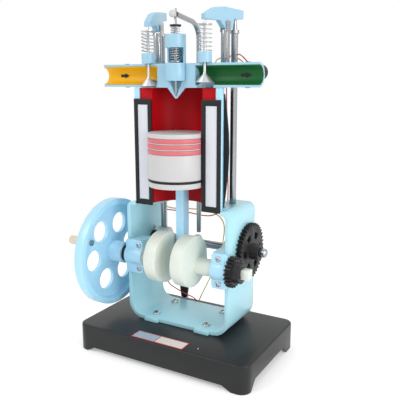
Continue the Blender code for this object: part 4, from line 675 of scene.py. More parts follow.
def cap_outline():
    back = FRAME_FRONT - GAP
    front = back - CAP_FLANGE
    bore = JOURNAL_RADIUS + GAP
    meets = math.acos((AXIS_Y - front) / CAP_BULGE_RADIUS)
    inside = math.acos((AXIS_Y - back) / bore)
    bulge = circle(CAP_BULGE_RADIUS, SMALL_ROUND, math.pi + meets, -2 * meets, CRANK_AXIS)
    hollow = circle(bore, SMALL_ROUND, math.pi - inside, 2 * inside, CRANK_AXIS)
    feet, tops = [(back, CAP_FOOT_Z), (front, CAP_FOOT_Z)], [(front, CAP_TOP_Z), (back, CAP_TOP_Z)]
    return feet + bulge + tops + hollow


def make_caps():
    for name, low, high in (("left_bearing_cap", FRAME_LEFT, FRAME_LEFT + LEFT_CAP_WIDTH),
                            ("right_bearing_cap", FRAME_RIGHT - RIGHT_CAP_WIDTH, FRAME_RIGHT)):
        sheath = rectangle((low - OVER, CAP_FOOT_Z - OVER), (high + OVER, CAP_TOP_Z + OVER))
        kept = rounded((low - GAP, CAP_FOOT_Z - GAP), (high + GAP, CAP_TOP_Z + GAP),
                       [CAP_CORNER] * 4, CORNER_SIDES)
        corners = plate("Y", [sheath, kept], FRAME_FRONT - 2 * CAP_BULGE_RADIUS, FRAME_FRONT)
        solid(name, prism("X", cap_outline(), low, high), BLUE, cuts=(corners,))


make_caps()
cap_screw_places = [(x, FRAME_FRONT - GAP - CAP_FLANGE, CRANK_Z + side * CAP_SCREW_RISE)
                    for x in CAP_SCREWS_X for side in (-1, 1)]
cross_screws("cap_screws", "left_bearing_cap", cap_screw_places, (math.pi / 2, 0, 0), CAP_SCREW_RADIUS, 3)

# Cylinder: a light-blue block with a dark red liner, cut open in front, in a black jacket behind.
# Two black strips with white panels mark the cut faces.
BORE_RADIUS = 0.0332
HEAD_Z = 0.3187
LINER_RADIUS = 0.046
LINER_SHARE = 1.09
BLOCK_RADIUS = 0.0566
BLOCK_SHARE = 0.945
FLANGE_DEPTH = 0.003
LINER_RECESS = 0.0012
CYLINDER_FOOT_Z = FRAME_TOP_Z + GAP
CYLINDER_TOP_Z = HEAD_Z - GAP
STRIP_INNER = 0.0334
STRIP_OUTER = 0.0574
STRIP_DROP = 0.0026
STRIP_TOP_Z = 0.3060
STRIP_THICKNESS = 0.0016
STRIP_BORDER = 0.0048
STRIP_END_BORDER = 0.0063
PANEL_SINK = 0.0008
JACKET_RADIUS = 0.0577
JACKET_SETBACK = 0.020
JACKET_BELLY = 0.0605
JACKET_TOP_Z = 0.312
JACKET_STEPS = 6
PUMP_ROD_RADIUS = 0.0029
PUMP_ROD_DISTANCE = 0.0515
PUMP_ROD_Y = AXIS_Y + PUMP_ROD_DISTANCE
STRIP_SEAT_Y = AXIS_Y - GAP
STRIP_FOOT_Z = CYLINDER_FOOT_Z - STRIP_DROP


def half_arc(radius, front_y, share=1.0):
    """An arc round the cylinder's axis behind a plane across it, from right to left, its width a share."""
    start = math.asin((front_y - AXIS_Y) / radius)
    points = circle(radius, ROUND, start, math.pi - 2 * start, CENTRE)
    return [(ENGINE_X + (x - ENGINE_X) * share, y) for x, y in points]


def half_ring(inner, outer, front_y, inner_share=1.0, outer_share=1.0):
    """A ring's section behind a plane across it."""
    return half_arc(outer, front_y, outer_share) + half_arc(inner, front_y, inner_share)[::-1]


def make_cylinder():
    channel = rod("Z", (ENGINE_X, PUMP_ROD_Y), CYLINDER_FOOT_Z - OVER, CYLINDER_TOP_Z + OVER,
                  PUMP_ROD_RADIUS + GAP)
    back = AXIS_Y + FLANGE_DEPTH
    sides = ((1, AXIS_Y), (1, back), (-1, back), (-1, AXIS_Y))
    corners = [(ENGINE_X + side * STRIP_OUTER, y) for side, y in sides]
    block = corners[:2] + half_arc(BLOCK_RADIUS, back, BLOCK_SHARE) + corners[2:]
    block += half_arc(LINER_RADIUS + GAP, AXIS_Y, LINER_SHARE)[::-1]
    solid("cylinder_block", prism("Z", block, CYLINDER_FOOT_Z, CYLINDER_TOP_Z), BLUE, cuts=(channel,))
    liner = half_ring(BORE_RADIUS, LINER_RADIUS, AXIS_Y + LINER_RECESS, 1.0, LINER_SHARE)
    solid("cylinder_liner", prism("Z", liner, CYLINDER_FOOT_Z, CYLINDER_TOP_Z), RED)
    front = STRIP_SEAT_Y - STRIP_THICKNESS
    for side, word in ((-1, "left"), (1, "right")):
        edges = sorted((ENGINE_X + side * STRIP_INNER, ENGINE_X + side * STRIP_OUTER))
        rim = rectangle((edges[0], STRIP_FOOT_Z), (edges[1], STRIP_TOP_Z))
        window = rectangle((edges[0] + STRIP_BORDER, STRIP_FOOT_Z + STRIP_END_BORDER),
                           (edges[1] - STRIP_BORDER, STRIP_TOP_Z - STRIP_END_BORDER))
        solid(f"{word}_section_frame", plate("Y", [rim, window], front, STRIP_SEAT_Y), BLACK)
        solid(f"{word}_section_panel",
              box((window[0][0] + GAP, front + PANEL_SINK, window[0][1] + GAP),
                  (window[2][0] - GAP, STRIP_SEAT_Y, window[2][1] - GAP)), WHITE)


def make_jacket():
    rings = []
    foot, top = CYLINDER_FOOT_Z, JACKET_TOP_Z
    for step in range(JACKET_STEPS + 1):
        share = step / JACKET_STEPS
        belly = math.sin(math.pi * share)
        outer = JACKET_RADIUS + (JACKET_BELLY - JACKET_RADIUS) * belly
        wide = BLOCK_SHARE + (1 - BLOCK_SHARE) * belly
        level = foot + (top - foot) * share
        section = half_ring(BLOCK_RADIUS + GAP, outer, AXIS_Y + JACKET_SETBACK, BLOCK_SHARE, wide)
        rings.append([(a, b, level) for a, b in section])
    solid("rear_jacket", loft(rings), BLACK)


BLACK = moulded("section_black", (0.014, 0.015, 0.017), 0.45, cloud_scale=22.0, variation=0.1, bump=0.05,
                specular=0.25)
WHITE = moulded("panel_white", (0.66, 0.69, 0.74), 0.45, variation=0.03, bump=0.02)
RED = moulded("liner_red", (0.44, 0.004, 0.008), 0.40, cloud_scale=12.0, variation=0.12, bump=0.03,
              specular=0.12)
make_cylinder()
make_jacket()

# Cylinder head: a light-blue half disc and deck with a half pipe on each side, cut open in front.
# The left pipe is lined in yellow for the inlet, the right one in green for the exhaust.
VALVE_OFFSET = 0.0367
HEAD_LEFT = -0.104
HEAD_RIGHT = 0.0989
PIPE_HEIGHT = 0.0135
PIPE_OUTER = 0.0129
PIPE_INNER = 0.0104
HEAD_CREST = 0.0002
PIPE_Z = HEAD_Z + PIPE_HEIGHT
PIPE_AXIS = (AXIS_Y, PIPE_Z)
HEAD_TOP_Z = PIPE_Z + PIPE_OUTER + HEAD_CREST
LINING_WALL = 0.0012
LEFT_PORT_END = -0.0273
RIGHT_PORT_START = 0.0224
HEAD_RADIUS = 0.0570
NOZZLE_RADIUS = 0.0132
NOZZLE_DEPTH = 0.0119
NOZZLE_TIP_Z = HEAD_Z - NOZZLE_DEPTH
NOZZLE_TIP_RADIUS = 0.0012
NOZZLE_HOLLOW_RADIUS = 0.0075
VALVE_RADIUS = 0.0100
VALVE_HEIGHT = 0.0088
VALVE_SEAT_HEIGHT = 0.0059
VALVE_CLOSED_Z = HEAD_Z + VALVE_SEAT_HEIGHT
INTAKE_REST_LIFT = 0.0044
STEM_RADIUS = 0.0015
STEM_NECK_RADIUS = 0.0022
VALVE_Y = AXIS_Y
SEAT_CLEARANCE = 0.0007
GUIDE_SHELL_RADIUS = 0.0078
GUIDE_HEIGHT = 0.0112
GUIDE_FLOOR_Z = HEAD_TOP_Z + GAP
INJECTOR_RADIUS = 0.0115
INJECTOR_BORE = 0.0094
WINDOW_HEIGHT = 0.0163
INJECTOR_CAP = 0.0142
INJECTOR_WINDOW_Z = GUIDE_FLOOR_Z + WINDOW_HEIGHT
INJECTOR_TOP_Z = INJECTOR_WINDOW_Z + INJECTOR_CAP
INJECTOR_NOSE_RADIUS = 0.0120
INJECTOR_NOSE_HEIGHT = 0.0075
INJECTOR_NOSE_Z = HEAD_Z + INJECTOR_NOSE_HEIGHT
DECK_EDGE = 0.009
DECK_HALF_LENGTH = ROD_OFFSET + DECK_EDGE
DECK_FRONT = 0.0
DECK_BACK = 0.040
DECK_THICKNESS = 0.010
NEEDLE_RADIUS = 0.0015
THREAD_RADIUS = 0.0021
NEEDLE_TIP_RISE = 0.0027
NEEDLE_TIP_Z = NOZZLE_TIP_Z + NEEDLE_TIP_RISE
NEEDLE_TIP_RADIUS = 0.0004
NEEDLE_POINT_LENGTH = 0.004
INTAKE_X = ENGINE_X - VALVE_OFFSET
EXHAUST_X = ENGINE_X + VALVE_OFFSET


def half_disc(radius, front_y, sides=ROUND):
    back = math.asin((front_y - AXIS_Y) / radius)
    return circle(radius, sides, back, math.pi - 2 * back, CENTRE)


def valve_cut(x):
    """A cutter for a valve's cone, its stem and the space that they travel in."""
    radius = VALVE_RADIUS + SEAT_CLEARANCE
    neck = STEM_NECK_RADIUS + RUN
    cone_z = VALVE_CLOSED_Z + GAP
    profile = stepped(HEAD_Z - OVER, (radius, cone_z))
    profile += stepped(cone_z + VALVE_HEIGHT, (neck, HEAD_TOP_Z + OVER))
    return [turned("Z", (x, VALVE_Y), profile, SMALL_ROUND)]


def make_head():
    disc = prism("Z", half_disc(HEAD_RADIUS, AXIS_Y), HEAD_Z, HEAD_TOP_Z)
    pipe = rod("X", PIPE_AXIS, HEAD_LEFT, HEAD_RIGHT, PIPE_OUTER, ROUND)
    front = box((HEAD_LEFT - OVER, AXIS_Y - BASE_HEIGHT, NOZZLE_TIP_Z - OVER),
                (HEAD_RIGHT + OVER, AXIS_Y, HEAD_TOP_Z + BASE_HEIGHT))
    nozzle = turned("Z", CENTRE, [(NOZZLE_TIP_Z, NOZZLE_TIP_RADIUS),
                                              (HEAD_Z + OVER, NOZZLE_RADIUS)], SMALL_ROUND)
    left_bore = rod("X", PIPE_AXIS, HEAD_LEFT - OVER, LEFT_PORT_END, PIPE_INNER, ROUND)
    right_bore = rod("X", PIPE_AXIS, RIGHT_PORT_START, HEAD_RIGHT + OVER, PIPE_INNER, ROUND)
    profile = [(NEEDLE_TIP_Z - RUN, NEEDLE_TIP_RADIUS + GAP),
               (NEEDLE_TIP_Z + NEEDLE_POINT_LENGTH - RUN, NEEDLE_RADIUS + RUN)]
    profile += stepped(INJECTOR_NOSE_Z - OVER, (NOZZLE_HOLLOW_RADIUS, INJECTOR_NOSE_Z - GAP),
                       (INJECTOR_NOSE_RADIUS + GAP, HEAD_TOP_Z + OVER))
    injector_hole = turned("Z", CENTRE, profile)
    pump_hole = rod("Z", (ENGINE_X, PUMP_ROD_Y), HEAD_Z - OVER, HEAD_TOP_Z + OVER, PUMP_ROD_RADIUS + GAP)
    cuts = [front, left_bore, right_bore, injector_hole, pump_hole]
    cuts += guide_holes(HEAD_Z - OVER, HEAD_TOP_Z + OVER) + valve_cut(INTAKE_X) + valve_cut(EXHAUST_X)
    deck = slab(DECK_HALF_LENGTH, DECK_FRONT, DECK_BACK, HEAD_TOP_Z - DECK_THICKNESS, HEAD_TOP_Z)
    solid("cylinder_head", disc, HEAD_BLUE, joins=(pipe, nozzle, deck), cuts=cuts)


def make_ports():
    """The coloured linings of the half pipes, cut open where the valve passes."""
    for name, material, low, high, x in (
            ("intake_port", YELLOW, HEAD_LEFT, LEFT_PORT_END - GAP, INTAKE_X),
            ("exhaust_port", GREEN, RIGHT_PORT_START + GAP, HEAD_RIGHT, EXHAUST_X)):
        outer, inner = PIPE_INNER - GAP, PIPE_INNER - LINING_WALL
        section = (circle(outer, SMALL_ROUND, -math.pi / 2, math.pi, PIPE_AXIS)
                   + circle(inner, SMALL_ROUND, math.pi / 2, -math.pi, PIPE_AXIS))
        solid(name, prism("X", section, low, high), material, cuts=valve_cut(x))


def make_guides_and_injector():
    for name, x in (("intake_valve_guide", INTAKE_X), ("exhaust_valve_guide", EXHAUST_X)):
        solid(name, tube("Z", (x, VALVE_Y), GUIDE_FLOOR_Z, GUIDE_FLOOR_Z + GUIDE_HEIGHT,
                         GUIDE_SHELL_RADIUS, STEM_RADIUS + RUN, SMALL_ROUND), HEAD_BLUE)
    outline = stepped(INJECTOR_NOSE_Z, (INJECTOR_NOSE_RADIUS, GUIDE_FLOOR_Z),
                      (INJECTOR_RADIUS, INJECTOR_TOP_Z),
                      (THREAD_RADIUS + RUN, INJECTOR_WINDOW_Z), (INJECTOR_BORE, GUIDE_FLOOR_Z),
                      (NEEDLE_RADIUS + RUN, INJECTOR_NOSE_Z))
    window = slab(2 * INJECTOR_RADIUS, AXIS_Y - 2 * INJECTOR_RADIUS, AXIS_Y, GUIDE_FLOOR_Z, INJECTOR_WINDOW_Z)
    solid("injector_body", turned("Z", CENTRE, outline, ROUND, True), HEAD_BLUE, cuts=(window,))


ARROWS_X = (-0.0850, 0.0735)
ARROW_LENGTH = 0.0122
ARROW_NECK = 0.0062
ARROW_HALF = 0.0030
ARROW_SHAFT_HALF = 0.0014
ARROW_THICKNESS = 0.0002
BANDS_X = (-0.0716, 0.0836)
BAND_HALF_WIDTH = 0.0030
BAND_THICKNESS = 0.0010
BAND_START = math.radians(12)


def make_arrows_and_bands():
    """A black flow arrow in each port, and the black band that holds each lamp to its pipe."""
    inner = PIPE_INNER - LINING_WALL
    for word, start, middle in zip(("intake", "exhaust"), ARROWS_X, BANDS_X):
        neck, tip = start + ARROW_NECK, start + ARROW_LENGTH
        outline = [(start, -ARROW_SHAFT_HALF), (neck, -ARROW_SHAFT_HALF), (neck, -ARROW_HALF), (tip, 0),
                   (neck, ARROW_HALF), (neck, ARROW_SHAFT_HALF), (start, ARROW_SHAFT_HALF)]
        back = AXIS_Y + math.sqrt(inner ** 2 - ARROW_HALF ** 2)
        arrow = prism("Y", outline, back - ARROW_THICKNESS, back + ARROW_THICKNESS, (0, PIPE_Z))
        solid(f"{word}_flow_arrow", arrow, BLACK, edge=0, trim_of="cylinder_head")
        turn = math.pi - 2 * BAND_START
        ring = circle(PIPE_OUTER + BAND_THICKNESS, ROUND, BAND_START, turn)
        ring += circle(PIPE_OUTER, ROUND, BAND_START, turn)[::-1]
        band = [(AXIS_Y + b, PIPE_Z + a) for a, b in ring]
        strap = prism("X", band, middle - BAND_HALF_WIDTH, middle + BAND_HALF_WIDTH)
        solid(f"{word}_lamp_band", strap, BLACK, trim_of="cylinder_head")


HEAD_BLUE = blue_moulded("head_plastic", (0.33, 0.56, 0.70), 0.32)
YELLOW = moulded("port_yellow", (0.80, 0.43, 0.004), 0.42, cloud_scale=30.0, variation=0.22, bump=0.04,
                 specular=0.25)
GREEN = moulded("port_green", (0.010, 0.105, 0.026), 0.40, cloud_scale=30.0, variation=0.3, bump=0.04,
                specular=0.2)
make_head()
make_ports()
make_guides_and_injector()
make_arrows_and_bands()

# Crankshaft: two milky round webs with their journals, a plated pin, and the light-blue flywheel.
# The flywheel is turned by a cream knob on a screw.
KNOB_END_X = -0.132
FLYWHEEL_RADIUS = 0.0673
WEB_RADIUS = 0.030
WEB_OFFSET = 0.0110
LEFT_WEB_INNER = 0.0075
RIGHT_WEB_INNER = 0.0132
WEB_THICKNESS = 0.0152
NARROW_JOURNAL_RADIUS = 0.0072
PIN_RADIUS = 0.005
PIN_BOSS_RADIUS = 0.0056
PIN_BOSS_LENGTH = 0.0075
DOWEL_RADIUS = 0.0022
DOWEL_LENGTH = 0.009
GEAR_X = FRAME_RIGHT + RUN
GEAR_WIDTH = 0.0077
GEAR_BOSS_RADIUS = 0.012
GEAR_BOSS_END = 0.0828
SQUARE_SIDE = 0.0105
SQUARE_END = 0.0926
NECK_RADIUS = 0.005
FLYWHEEL_RIM = 0.0600
FLYWHEEL_OUT = -0.104
FLYWHEEL_IN = -0.0923
FLYWHEEL_WEB = 0.0045
FLYWHEEL_HOLE = 0.0132
FLYWHEEL_PITCH = 0.0365
FLYWHEEL_HOLES = 6
FLYWHEEL_TURN = math.radians(7)
HUB_RADIUS = 0.0132
HUB_END = -0.0785
COLLAR_LEFT = HUB_END + GAP
COLLAR_RIGHT = -0.0740
COLLAR_OUTER = 0.0108
HANDLE_RADIUS = 0.0455
HANDLE_ANGLE = math.radians(154)
SPINDLE_RADIUS = 0.002
SPINDLE_HEAD = 0.0036
SPINDLE_HEAD_HEIGHT = 0.0016
KNOB_RADIUS = 0.0055
KNOB_WALL = 0.002
HANDLE_Y = AXIS_Y + HANDLE_RADIUS * math.cos(HANDLE_ANGLE)
HANDLE_Z = CRANK_Z + HANDLE_RADIUS * math.sin(HANDLE_ANGLE)
HANDLE_AXIS = (HANDLE_Y, HANDLE_Z)
DOWEL_Y = (AXIS_Y + PIN_Y) / 2
DOWEL_Z = (CRANK_Z + PIN_Z) / 2
DOWEL_AXIS = (DOWEL_Y, DOWEL_Z)
WEB_Y = AXIS_Y - WEB_OFFSET * math.sin(CRANK_REST)
WEB_Z = CRANK_Z + WEB_OFFSET * math.cos(CRANK_REST)


def make_crankshaft():
    near_left, near_right = ENGINE_X - LEFT_WEB_INNER, ENGINE_X + RIGHT_WEB_INNER
    left, right = near_left - WEB_THICKNESS, near_right + WEB_THICKNESS
    neck = FRAME_LEFT + LEFT_CAP_WIDTH
    dowel_hole = rod("X", DOWEL_AXIS, near_left - DOWEL_LENGTH - GAP, near_left + OVER, DOWEL_RADIUS + GAP)
    solid("left_crank_web", rod("X", (WEB_Y, WEB_Z), left, near_left, WEB_RADIUS, ROUND), MILKY,
          (dowel_hole,),
          (turned("X", CRANK_AXIS, stepped(HUB_END + GAP, (JOURNAL_RADIUS, neck),
                                           (NARROW_JOURNAL_RADIUS, left + OVER))),
           rod("X", PIN_AXIS, left - PIN_BOSS_LENGTH, left + OVER, PIN_BOSS_RADIUS)))
    half = SQUARE_SIDE / 2
    square = rectangle((AXIS_Y - half, CRANK_Z - half), (AXIS_Y + half, CRANK_Z + half))
    solid("right_crank_web", rod("X", (WEB_Y, WEB_Z), near_right, right, WEB_RADIUS, ROUND), MILKY, (),
          (rod("X", CRANK_AXIS, right - OVER, GEAR_X - GAP, JOURNAL_RADIUS, ROUND),
           rod("X", PIN_AXIS, right - OVER, right + PIN_BOSS_LENGTH, PIN_BOSS_RADIUS),
           rod("X", CRANK_AXIS, GEAR_X - OVER, SQUARE_END - OVER, NECK_RADIUS),
           prism("X", square, GEAR_BOSS_END + GAP, SQUARE_END)))
    solid("crank_pin", rod("X", PIN_AXIS, near_left + GAP, near_right - GAP, PIN_RADIUS), CHROME)
    dowel = rod("X", DOWEL_AXIS, near_left - DOWEL_LENGTH, near_left - GAP, DOWEL_RADIUS)
    solid("crank_dowel", dowel, CHROME)


def make_flywheel():
    web_face = FLYWHEEL_OUT + FLYWHEEL_WEB
    profile = stepped(FLYWHEEL_OUT, (FLYWHEEL_RADIUS, FLYWHEEL_IN), (FLYWHEEL_RIM, web_face),
                      (HUB_RADIUS, HUB_END))
    holes = []
    for index in range(FLYWHEEL_HOLES):
        angle = FLYWHEEL_TURN + 2 * math.pi * index / FLYWHEEL_HOLES
        centre = (AXIS_Y + FLYWHEEL_PITCH * math.cos(angle), CRANK_Z + FLYWHEEL_PITCH * math.sin(angle))
        holes.append(rod("X", centre, FLYWHEEL_OUT - OVER, web_face + OVER, FLYWHEEL_HOLE))
    holes.append(rod("X", HANDLE_AXIS, FLYWHEEL_OUT - OVER, web_face + OVER, SPINDLE_RADIUS + GAP))
    solid("flywheel", turned("X", CRANK_AXIS, profile, ROUND + SMALL_ROUND), BLUE, holes)
    knob_face = FLYWHEEL_OUT - RUN
    bore = SPINDLE_RADIUS + GAP
    profile = stepped(KNOB_END_X + KNOB_WALL + GAP, (SPINDLE_RADIUS, web_face + GAP),
                      (SPINDLE_HEAD, web_face + GAP + SPINDLE_HEAD_HEIGHT))
    solid("handle_spindle", turned("X", HANDLE_AXIS, profile, SMALL_ROUND), CHROME)
    waist = (knob_face + KNOB_END_X) / 2
    profile = [(KNOB_END_X, KNOB_RADIUS - SPINDLE_HEAD_HEIGHT),
               (KNOB_END_X + SPINDLE_HEAD_HEIGHT, KNOB_RADIUS),
               (waist, KNOB_RADIUS), (knob_face, KNOB_RADIUS - SPINDLE_HEAD_HEIGHT), (knob_face, bore),
               (KNOB_END_X + KNOB_WALL, bore)]
    solid("handle_knob", turned("X", HANDLE_AXIS, profile, SMALL_ROUND), CREAM)


MILKY = moulded("crank_white", (0.70, 0.75, 0.68), 0.42, cloud_scale=20.0, variation=0.04, bump=0.03,
                subsurface=0.25)
CHROME = moulded("chrome_metal", (0.38, 0.39, 0.40), 0.22, metallic=1.0, cloud_scale=60.0, variation=0.08,
                 bump=0.02)
CREAM = moulded("knob_cream", (0.74, 0.64, 0.46), 0.35, variation=0.06, bump=0.03, subsurface=0.2)
make_crankshaft()
make_flywheel()
solid("flywheel_collar", tube("X", CRANK_AXIS, COLLAR_LEFT, COLLAR_RIGHT, COLLAR_OUTER, JOURNAL_RADIUS + GAP),
      BLACK, trim_of="flywheel")

# Gears: black moulded wheels with involute teeth; the cam gear has twice the crank gear's teeth.
# Both sit outside the right wall.
PRESSURE = math.radians(20)
BACKLASH = 0.0004
DEDENDUM_SHARE = 1.25
FLANK_SHARES = (0.0, 0.5, 1.0)
CAM_GEAR_WIDTH = 0.0062
CAM_HUB_RADIUS = 0.0097
CAM_HUB_END = 0.084
SLOT_INNER = 0.0155
SLOT_OUTER = 0.0235
SLOT_HALF_ANGLE = math.radians(13)
SLOTS = 6
SLOT_SIDES = 5


def gear_outline(teeth, centre, phase):
    """Teeth round a pitch circle, the first centred on the angle phase."""
    pitch = GEAR_MODULE * teeth / 2
    base = pitch * math.cos(PRESSURE)
    root, tip = pitch - DEDENDUM_SHARE * GEAR_MODULE, pitch + GEAR_MODULE
    involute = math.tan(PRESSURE) - PRESSURE
    half_pitch = (math.pi * GEAR_MODULE / 2 - BACKLASH) / (2 * pitch)
    flank = []
    start = max(root, base)
    for share in FLANK_SHARES:
        radius = start + share * (tip - start)
        lean = math.acos(min(1.0, base / radius))
        flank.append((radius, half_pitch + involute - (math.tan(lean) - lean)))
    if root < base:
        flank.insert(0, (root, flank[0][1]))
    points = []
    for tooth in range(teeth):
        middle = phase + 2 * math.pi * tooth / teeth
        for radius, angle in [(r, -a) for r, a in flank] + [(r, a) for r, a in reversed(flank)]:
            points.append((centre[0] + radius * math.cos(middle + angle),
                           centre[1] + radius * math.sin(middle + angle)))
    return points


def make_gears():
    bore = NECK_RADIUS + GAP
    solid("crank_gear",
          plate("X", [gear_outline(CRANK_TEETH, CRANK_AXIS, CAM_RISE),
                      circle(bore, SMALL_ROUND, centre=CRANK_AXIS)], GEAR_X, GEAR_X + GEAR_WIDTH),
          GEAR_BLACK, (),
          (tube("X", CRANK_AXIS, GEAR_X + GEAR_WIDTH - OVER, GEAR_BOSS_END, GEAR_BOSS_RADIUS,
                bore + GAP, SMALL_ROUND),))
    phase = CAM_RISE + math.pi + math.pi / CAM_TEETH
    outlines = [gear_outline(CAM_TEETH, CAM_AXIS, phase),
                circle(SHAFT_RADIUS + GAP, SMALL_ROUND, centre=CAM_AXIS)]
    for index in range(SLOTS):
        middle = 2 * math.pi * index / SLOTS
        slot = circle(SLOT_OUTER, SLOT_SIDES, middle - SLOT_HALF_ANGLE, 2 * SLOT_HALF_ANGLE, CAM_AXIS)
        slot += circle(SLOT_INNER, SLOT_SIDES, middle + SLOT_HALF_ANGLE, -2 * SLOT_HALF_ANGLE, CAM_AXIS)
        outlines.append(slot)
    solid("cam_gear", plate("X", outlines, GEAR_X, GEAR_X + CAM_GEAR_WIDTH), GEAR_BLACK, (),
          (tube("X", CAM_AXIS, GEAR_X + CAM_GEAR_WIDTH - OVER, CAM_HUB_END, CAM_HUB_RADIUS,
                SHAFT_RADIUS + 2 * GAP, SMALL_ROUND),))


GEAR_BLACK = moulded("gear_black", (0.014, 0.014, 0.015), 0.42, cloud_scale=40.0, variation=0.15, bump=0.06,
                     specular=0.3)
make_gears()

# Camshaft: a plated bar behind the crank with three milky cams.
# The outer two lift the push rods and the middle one the injector's rod.
CAM_BASE = 0.0103
CAM_LOBE = 0.0146
PUMP_CAM_BASE = 0.0103
PUMP_CAM_LOBE = 0.0123
VALVE_CAM_WIDTH = 0.016
PUMP_CAM_WIDTH = 0.0045
CAM_OPENING = math.radians(65)
INTAKE_LOBE = math.radians(84)
EXHAUST_LOBE = INTAKE_LOBE + math.radians(105)
PUMP_LOBE = INTAKE_LOBE - math.radians(130)
SHAFT_END = 0.092
SHAFT_CAP_RADIUS = 0.0055
SHAFT_ROUNDING = 0.0018
BUSH_LEFT = 0.0549
BUSH_RIGHT = 0.0614
BUSH_RADIUS = 0.0088


def cam_outline(base, lobe, middle):
    """A base circle with one smooth lobe."""
    points = []
    for step in range(ROUND):
        angle = 2 * math.pi * step / ROUND
        away = abs((angle + math.pi) % (2 * math.pi) - math.pi)
        rise = (1 + math.cos(math.pi * min(away, CAM_OPENING) / CAM_OPENING)) / 2
        radius = base + (lobe - base) * rise
        points.append((CAM_Y + radius * math.cos(middle + angle), CAM_Z + radius * math.sin(middle + angle)))
    return points


def make_camshaft():
    profile = stepped(FRAME_LEFT + FRAME_WALL / 2, (SHAFT_RADIUS, CAM_HUB_END + GAP),
                      (SHAFT_CAP_RADIUS, SHAFT_END - SHAFT_ROUNDING))
    profile.append((SHAFT_END, SHAFT_CAP_RADIUS - SHAFT_ROUNDING))
    solid("camshaft", turned("X", CAM_AXIS, profile, SMALL_ROUND), CHROME)
    bore = circle(SHAFT_RADIUS + GAP, SMALL_ROUND, centre=CAM_AXIS)
    for name, x, width, base, lobe, middle in (
            ("intake_cam", ENGINE_X - ROD_OFFSET, VALVE_CAM_WIDTH, CAM_BASE, CAM_LOBE, INTAKE_LOBE),
            ("pump_cam", ENGINE_X, PUMP_CAM_WIDTH, PUMP_CAM_BASE, PUMP_CAM_LOBE, PUMP_LOBE),
            ("exhaust_cam", ENGINE_X + ROD_OFFSET, VALVE_CAM_WIDTH, CAM_BASE, CAM_LOBE, EXHAUST_LOBE)):
        solid(name, plate("X", [cam_outline(base, lobe, middle), bore], x - width / 2, x + width / 2), MILKY)


make_camshaft()
solid("camshaft_spacer", tube("X", CAM_AXIS, BUSH_LEFT, BUSH_RIGHT, BUSH_RADIUS, SHAFT_RADIUS), MILKY,
      trim_of="camshaft")

# Piston: a white plastic drum, hollow below, with three pink rings and a thin black oil ring.
# The light-blue connecting rod runs up inside it to a plated wrist pin.
PISTON_RADIUS = 0.0328
PISTON_FOOT_Z = 0.208
PISTON_CROWN_Z = 0.269
CROWN_THICKNESS = 0.007
CAVITY_RADIUS = 0.029
RING_RADIUS = 0.03295
RING_DEPTH = 0.0015
RING_HEIGHT = 0.0052
RING_LAND = 0.0012
FIRST_RING_TOP_Z = 0.2640
OIL_RING_TOP_Z = 0.2170
OIL_RING_HEIGHT = 0.003
ROD_WIDTH = 0.0105
ROD_DEPTH = 0.0123
ROD_LENGTH = 0.130
BIG_END_RADIUS = 0.0095
SMALL_END_RADIUS = 0.0075
WRIST_RADIUS = 0.0032
WRIST_HALF_LENGTH = 0.019


def make_piston():
    tops = [FIRST_RING_TOP_Z - index * (RING_HEIGHT + RING_LAND) for index in range(3)]
    slots = [(f"compression_ring_{index + 1}", top, RING_HEIGHT, PINK) for index, top in enumerate(tops)]
    slots.append(("oil_ring", OIL_RING_TOP_Z, OIL_RING_HEIGHT, BLACK))
    groove = RING_RADIUS - RING_DEPTH - GAP
    profile = [(PISTON_CROWN_Z, PISTON_RADIUS)]
    for name, top, height, material in slots:
        profile += [(top, PISTON_RADIUS), (top, groove), (top - height, groove),
                    (top - height, PISTON_RADIUS)]
        solid(name, tube("Z", CENTRE, top - height + GAP, top - GAP, RING_RADIUS, groove + GAP), material)
    ceiling = PISTON_CROWN_Z - CROWN_THICKNESS
    profile += [(PISTON_FOOT_Z, PISTON_RADIUS), (PISTON_FOOT_Z, CAVITY_RADIUS), (ceiling, CAVITY_RADIUS)]
    solid("piston", turned("Z", CENTRE, profile), PISTON_WHITE)


def make_connecting_rod():
    wrist_z = PIN_Z + ROD_LENGTH
    low, high = ENGINE_X - ROD_WIDTH / 2, ENGINE_X + ROD_WIDTH / 2
    bar = box((low, PIN_Y - ROD_DEPTH / 2, PIN_Z), (high, PIN_Y + ROD_DEPTH / 2, wrist_z))
    ends = [rod("X", PIN_AXIS, low - GAP, high + GAP, BIG_END_RADIUS, ROUND),
            rod("X", (PIN_Y, wrist_z), low - GAP, high + GAP, SMALL_END_RADIUS)]
    holes = [rod("X", PIN_AXIS, low - OVER, high + OVER, PIN_RADIUS + GAP),
             rod("X", (PIN_Y, wrist_z), low - OVER, high + OVER, WRIST_RADIUS + GAP)]
    solid("connecting_rod", bar, BLUE, holes, ends)
    solid("wrist_pin", rod("X", (PIN_Y, wrist_z), ENGINE_X - WRIST_HALF_LENGTH, ENGINE_X + WRIST_HALF_LENGTH,
                           WRIST_RADIUS), CHROME)


PISTON_WHITE = moulded("piston_white", (0.57, 0.565, 0.565), 0.40, variation=0.03, bump=0.02, subsurface=0.15)
PINK = moulded("ring_pink", (0.66, 0.145, 0.165), 0.42, cloud_scale=40.0, variation=0.12, bump=0.04)
make_piston()
make_connecting_rod()

